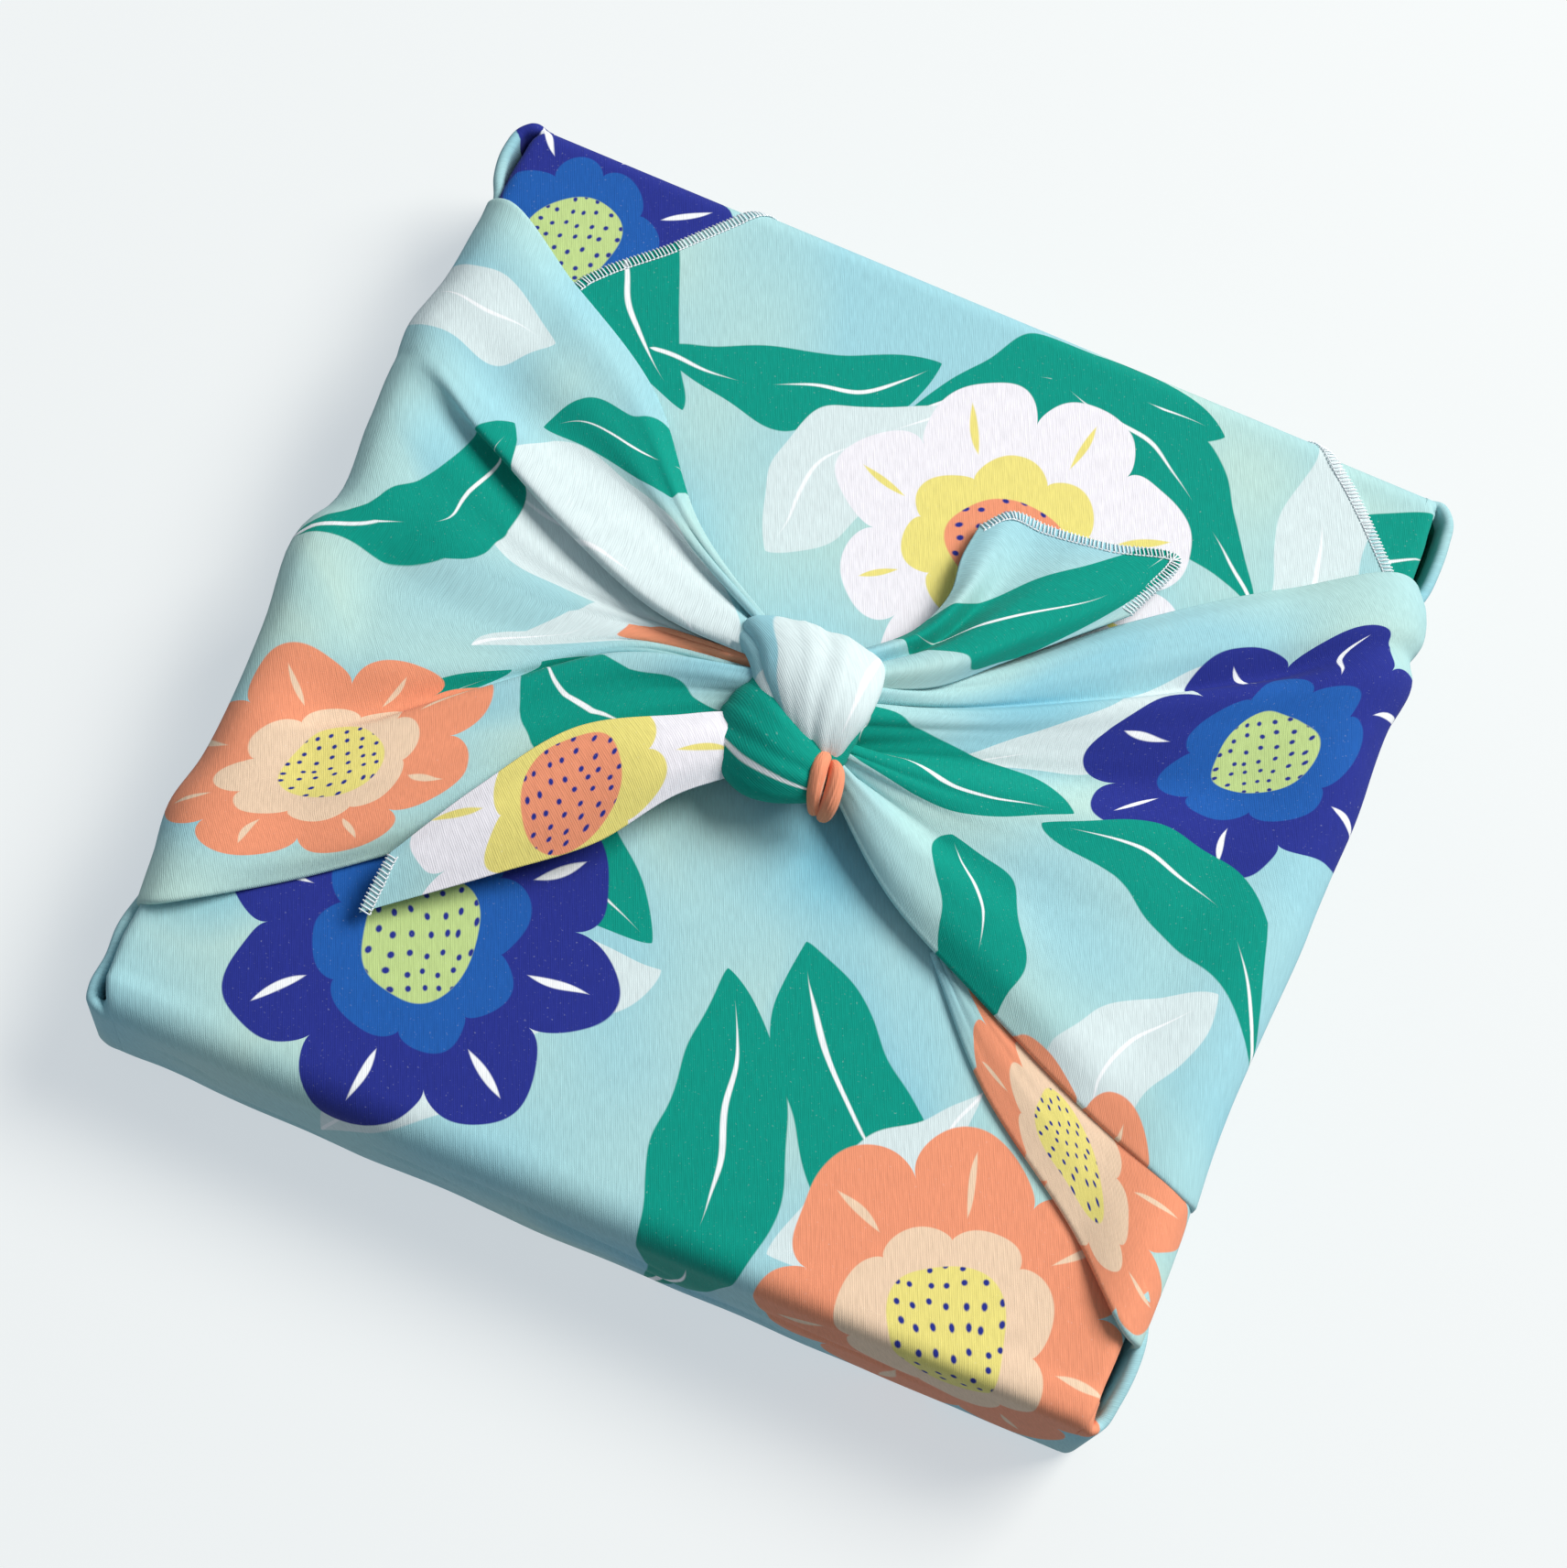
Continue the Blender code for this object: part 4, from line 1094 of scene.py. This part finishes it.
def knot_band(name, band):
    """One band of the knot: a closed soft roll along its stations, with blunt ends inside the knot."""
    table = np.array([(*at.one_side, *at.other_side, at.crown) for at in band.stations], float)
    turns = np.arange(BAND_AROUND) / BAND_AROUND * 2 * pi
    line = evenly(table, BAND_ROWS)
    middle = (line[:, :3] + line[:, 3:6]) / 2
    half = (line[:, 3:6] - line[:, :3]) / 2
    way = np.gradient(middle, axis=0)
    way /= np.linalg.norm(way, axis=1, keepdims=True)
    deep = np.cross(half, way)
    deep /= np.linalg.norm(deep, axis=1, keepdims=True)
    upright = np.sign(deep[BAND_ROWS // 2, 2])
    length = np.linalg.norm(np.diff(middle, axis=0), axis=1).sum()
    grid = []
    for row in range(BAND_ROWS):
        share = row / (BAND_ROWS - 1)
        blunt = max(0.02, 1 - (2 * share - 1) ** 10) ** 0.5
        ring = []
        for angle in turns:
            over, up = cos(angle), sin(angle)
            # The jersey wrinkles lightly along the band
            wide = noise.noise(Vector((over * 3.4 + share, share * 1.1, len(name))))
            narrow = noise.noise(Vector((over * 8.0, share * 2.4, len(name) + 9)))
            wrinkle = wide + 0.5 * narrow
            rise = line[row, 6] * np.sign(up) * abs(up) ** 0.85 + band.crumple * wrinkle * abs(up)
            ring.append(middle[row] + half[row] * over * blunt + deep[row] * upright * rise * blunt)
        grid.append(ring)
    grid = np.array(grid)
    girth = np.linalg.norm(grid - np.roll(grid, 1, axis=1), axis=2).sum(axis=1).mean()
    across, along = np.meshgrid(turns / (2 * pi) * girth, np.linspace(0, length, BAND_ROWS))
    places = np.stack([band.corner[0] + across, band.corner[1] + along], axis=-1)
    piece = cloth_piece(name, grid, places, closed=True)


for name, band in KNOT_BANDS.items():
    knot_band(name, band)


# The free ends
# The two corners of the cloth beyond the knot: a wide one with its two overlocked sides and the cloth's
# corner to the upper right, and a flat one with its tip to the lower left.

# Each row runs from the knot to the end, and the rows lie side by side
UPPER_TAIL = [
    [(3, 22, 49), (14.6, 34.4, 48), (19, 47.4, 46.4), (18, 58, 44.8), (19, 68.6, 43)],
    [(4, 20, 53), (17.4, 34.7, 50.6), (22.4, 49.4, 49), (23.5, 61, 46.8), (25, 75, 44)],
    [(5, 18, 50.5), (20, 33.6, 46.6), (26, 48, 44.6), (30.5, 61.5, 43.6), (34, 75.8, 42.8)],
    [(6.5, 17, 54.5), (23, 32.4, 51.6), (33.4, 47.8, 49.4), (42, 62, 46.8), (50, 77, 44.4)],
    [(8, 15.5, 56), (25, 27.4, 54.6), (38.6, 42.7, 51.4), (53, 60, 48), (67, 81.3, 44)],
    [(9, 13.6, 53.4), (23, 20.8, 51.4), (36, 34.4, 48.6), (49, 48, 47), (61, 60.7, 46)],
]
LOWER_TAIL = [
    [
        (-6, -3, 50), (-17, -5.6, 54), (-29, -12.1, 55),
        (-48.8, -23.2, 53), (-64.8, -46.2, 51), (-77, -68, 47.4),
    ],
    [
        (-5, -6, 51), (-16, -10.6, 56), (-27, -18, 57.4),
        (-46, -32, 55), (-62, -52, 52), (-77.4, -73, 47.2),
    ],
    [
        (-5, -9, 50), (-15.4, -16, 54.6), (-25, -25, 56),
        (-41, -41, 53), (-57, -57, 50), (-77.8, -78, 46),
    ],
    [
        (-6, -12, 48), (-13, -19.6, 50), (-21.3, -28.1, 51.6),
        (-34.5, -46.5, 49), (-52.4, -61.8, 46.6), (-78, -83, 44.4),
    ],
]


def free_end(name, rows, count, steps, corner, turn):
    """A free end through rows of points; corner and turn lay it on the flat cloth."""
    grid = through(np.array([evenly(row, count) for row in rows]), steps)
    middle = grid[grid.shape[0] // 2]
    along = np.cumsum(np.linalg.norm(np.diff(middle, axis=0, prepend=middle[:1]), axis=1))
    width = np.cumsum(np.linalg.norm(np.diff(grid, axis=0, prepend=grid[:1]), axis=2), axis=0)
    width = width - width[-1] / 2
    along = np.broadcast_to(along, width.shape)
    cos_turn, sin_turn = cos(radians(turn)), sin(radians(turn))
    across = corner[0] + along * cos_turn - width * sin_turn
    up = corner[1] + along * sin_turn + width * cos_turn
    return cloth_piece(name, grid, np.stack([across, up], axis=-1)), grid


upper_tail, upper_tail_grid = free_end("upper_tail", UPPER_TAIL, 100, 14, (380, 20), 0)
lower_tail, lower_tail_grid = free_end("lower_tail", LOWER_TAIL, 120, 22, (-380, 20), 180)


# The hems
# The cloth's raw edges are overlocked in white thread: a stitch every millimetre wraps the edge from a
# needle line a little inside it. They show on the near flap's tip and on both free ends.
STITCH_PITCH = 1.0
STITCH_REACH = 2.4  # the needle line from the edge
THREAD_RADIUS = 0.2
THREAD_SIDES = 5
# The thread round the edge, as depth inside it and height over the cloth's middle
HOOK = [
    (STITCH_REACH, 0.62), (1.2, 0.72), (0.1, 0.66), (-0.42, 0.2), (-0.42, -0.3), (0.1, -0.66), (1.3, -0.66),
]
# The short stitch on the needle line, as travel along it and height over its ends
LIMB = [(-0.4, 0.0), (-0.15, 0.14), (0.15, 0.14), (0.4, 0.0)]
LIMB_RISE = 0.5
SLANT = 0.35  # how far a hook leans along the edge, in the pitch
THREAD = ink(250, 252, 254)
THREAD_SHADE = ink(232, 238, 243)

thread = bpy.data.materials.new("white overlock thread")
thread.use_nodes = True
tree = thread.node_tree
place = tree.nodes.new("ShaderNodeTexCoord").outputs["Object"]
fluff = grain(tree, place, 2600.0)
surface = tree.nodes["Principled BSDF"]
surface.inputs["Roughness"].default_value = 0.7
tree.links.new(blend_colours(tree, fluff, THREAD_SHADE, THREAD), surface.inputs["Base Color"])


def thread_tubes(strands, sides):
    """Vertices and faces of closed tubes along the strands; each has one sideways direction."""
    way = np.gradient(strands, axis=1)
    way /= np.linalg.norm(way, axis=2, keepdims=True) + 1e-9
    across = np.broadcast_to(sides[:, None, :], way.shape)
    over = np.cross(way, across)
    angles = np.arange(THREAD_SIDES) / THREAD_SIDES * 2 * pi
    ring = across[:, :, None] * np.cos(angles)[:, None] + over[:, :, None] * np.sin(angles)[:, None]
    points = strands[:, :, None] + ring * THREAD_RADIUS
    count, steps = strands.shape[:2]
    number = np.arange(count * steps * THREAD_SIDES).reshape(count, steps, THREAD_SIDES)
    after = np.roll(number, -1, axis=2)
    corners = [number[:, :-1], after[:, :-1], after[:, 1:], number[:, 1:]]
    walls = np.stack(corners, axis=-1).reshape(-1, 4)
    ends = [*number[:, 0, ::-1].tolist(), *number[:, -1].tolist()]
    return points.reshape(-1, 3), [*walls.tolist(), *ends]


def hem(name, edge, inner, seed):
    """Overlock stitches along the edge, a line of points; inner is a line beside it inside the cloth."""
    steps = np.append(0, np.cumsum(np.linalg.norm(np.diff(edge, axis=0), axis=1)))
    at = np.arange(0.5, steps[-1] - 0.5, STITCH_PITCH)
    chance = np.random.default_rng(seed)
    at = at + chance.uniform(-0.12, 0.12, len(at))
    line = np.stack([np.interp(at, steps, edge[:, k]) for k in range(3)], axis=1)
    inside = np.stack([np.interp(at, steps, inner[:, k]) for k in range(3)], axis=1)
    way = np.gradient(line, axis=0)
    way /= np.linalg.norm(way, axis=1, keepdims=True)
    inward = inside - line
    inward -= way * np.sum(inward * way, axis=1, keepdims=True)
    inward /= np.linalg.norm(inward, axis=1, keepdims=True)
    face = np.cross(way, inward)
    face *= np.sign(face[:, 2:].sum() or 1.0)
    slant = SLANT * STITCH_PITCH + chance.uniform(-0.1, 0.1, len(at))
    hooks = []
    for depth, height in HOOK:
        lean = way * (slant * depth / STITCH_REACH)[:, None]
        hooks.append(line + inward * depth + face * height + lean)
    needle_line = line + inward * STITCH_REACH
    limbs = [needle_line + face * (LIMB_RISE + height) + way * travel for travel, height in LIMB]
    first, first_faces = thread_tubes(np.stack(hooks, axis=1), way)
    second, second_faces = thread_tubes(np.stack(limbs, axis=1), face)
    offset = len(first)
    mesh = bpy.data.meshes.new(name)
    faces = first_faces + [[v + offset for v in corner] for corner in second_faces]
    mesh.from_pydata((np.concatenate([first, second]) * MM).tolist(), [], faces)
    mesh.shade_smooth()
    mesh.materials.append(thread)
    piece = bpy.data.objects.new(name, mesh)
    bpy.context.scene.collection.objects.link(piece)
    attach(piece, "root")
    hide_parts("wrap")
    return piece


LEFT_HEM_FROM = 372.0  # places along the strip, on the flat cloth
RIGHT_HEM_FROM = 379.0
INNER_COLUMN = 14
tip_rows = body_places[:, 0, 1] > LEFT_HEM_FROM
left_hem = hem("near_flap_left_hem", body_grid[tip_rows, 0], body_grid[tip_rows, INNER_COLUMN], 1)
tip_rows = body_places[:, 0, 1] > RIGHT_HEM_FROM
right_hem = hem("near_flap_right_hem", body_grid[tip_rows, -1], body_grid[tip_rows, -1 - INNER_COLUMN], 2)
upper_hem = hem("upper_tail_hem", upper_tail_grid[:, -1], upper_tail_grid[:, -8], 3)
lower_hem = hem("lower_tail_hem", lower_tail_grid[:, -1], lower_tail_grid[:, -6], 4)
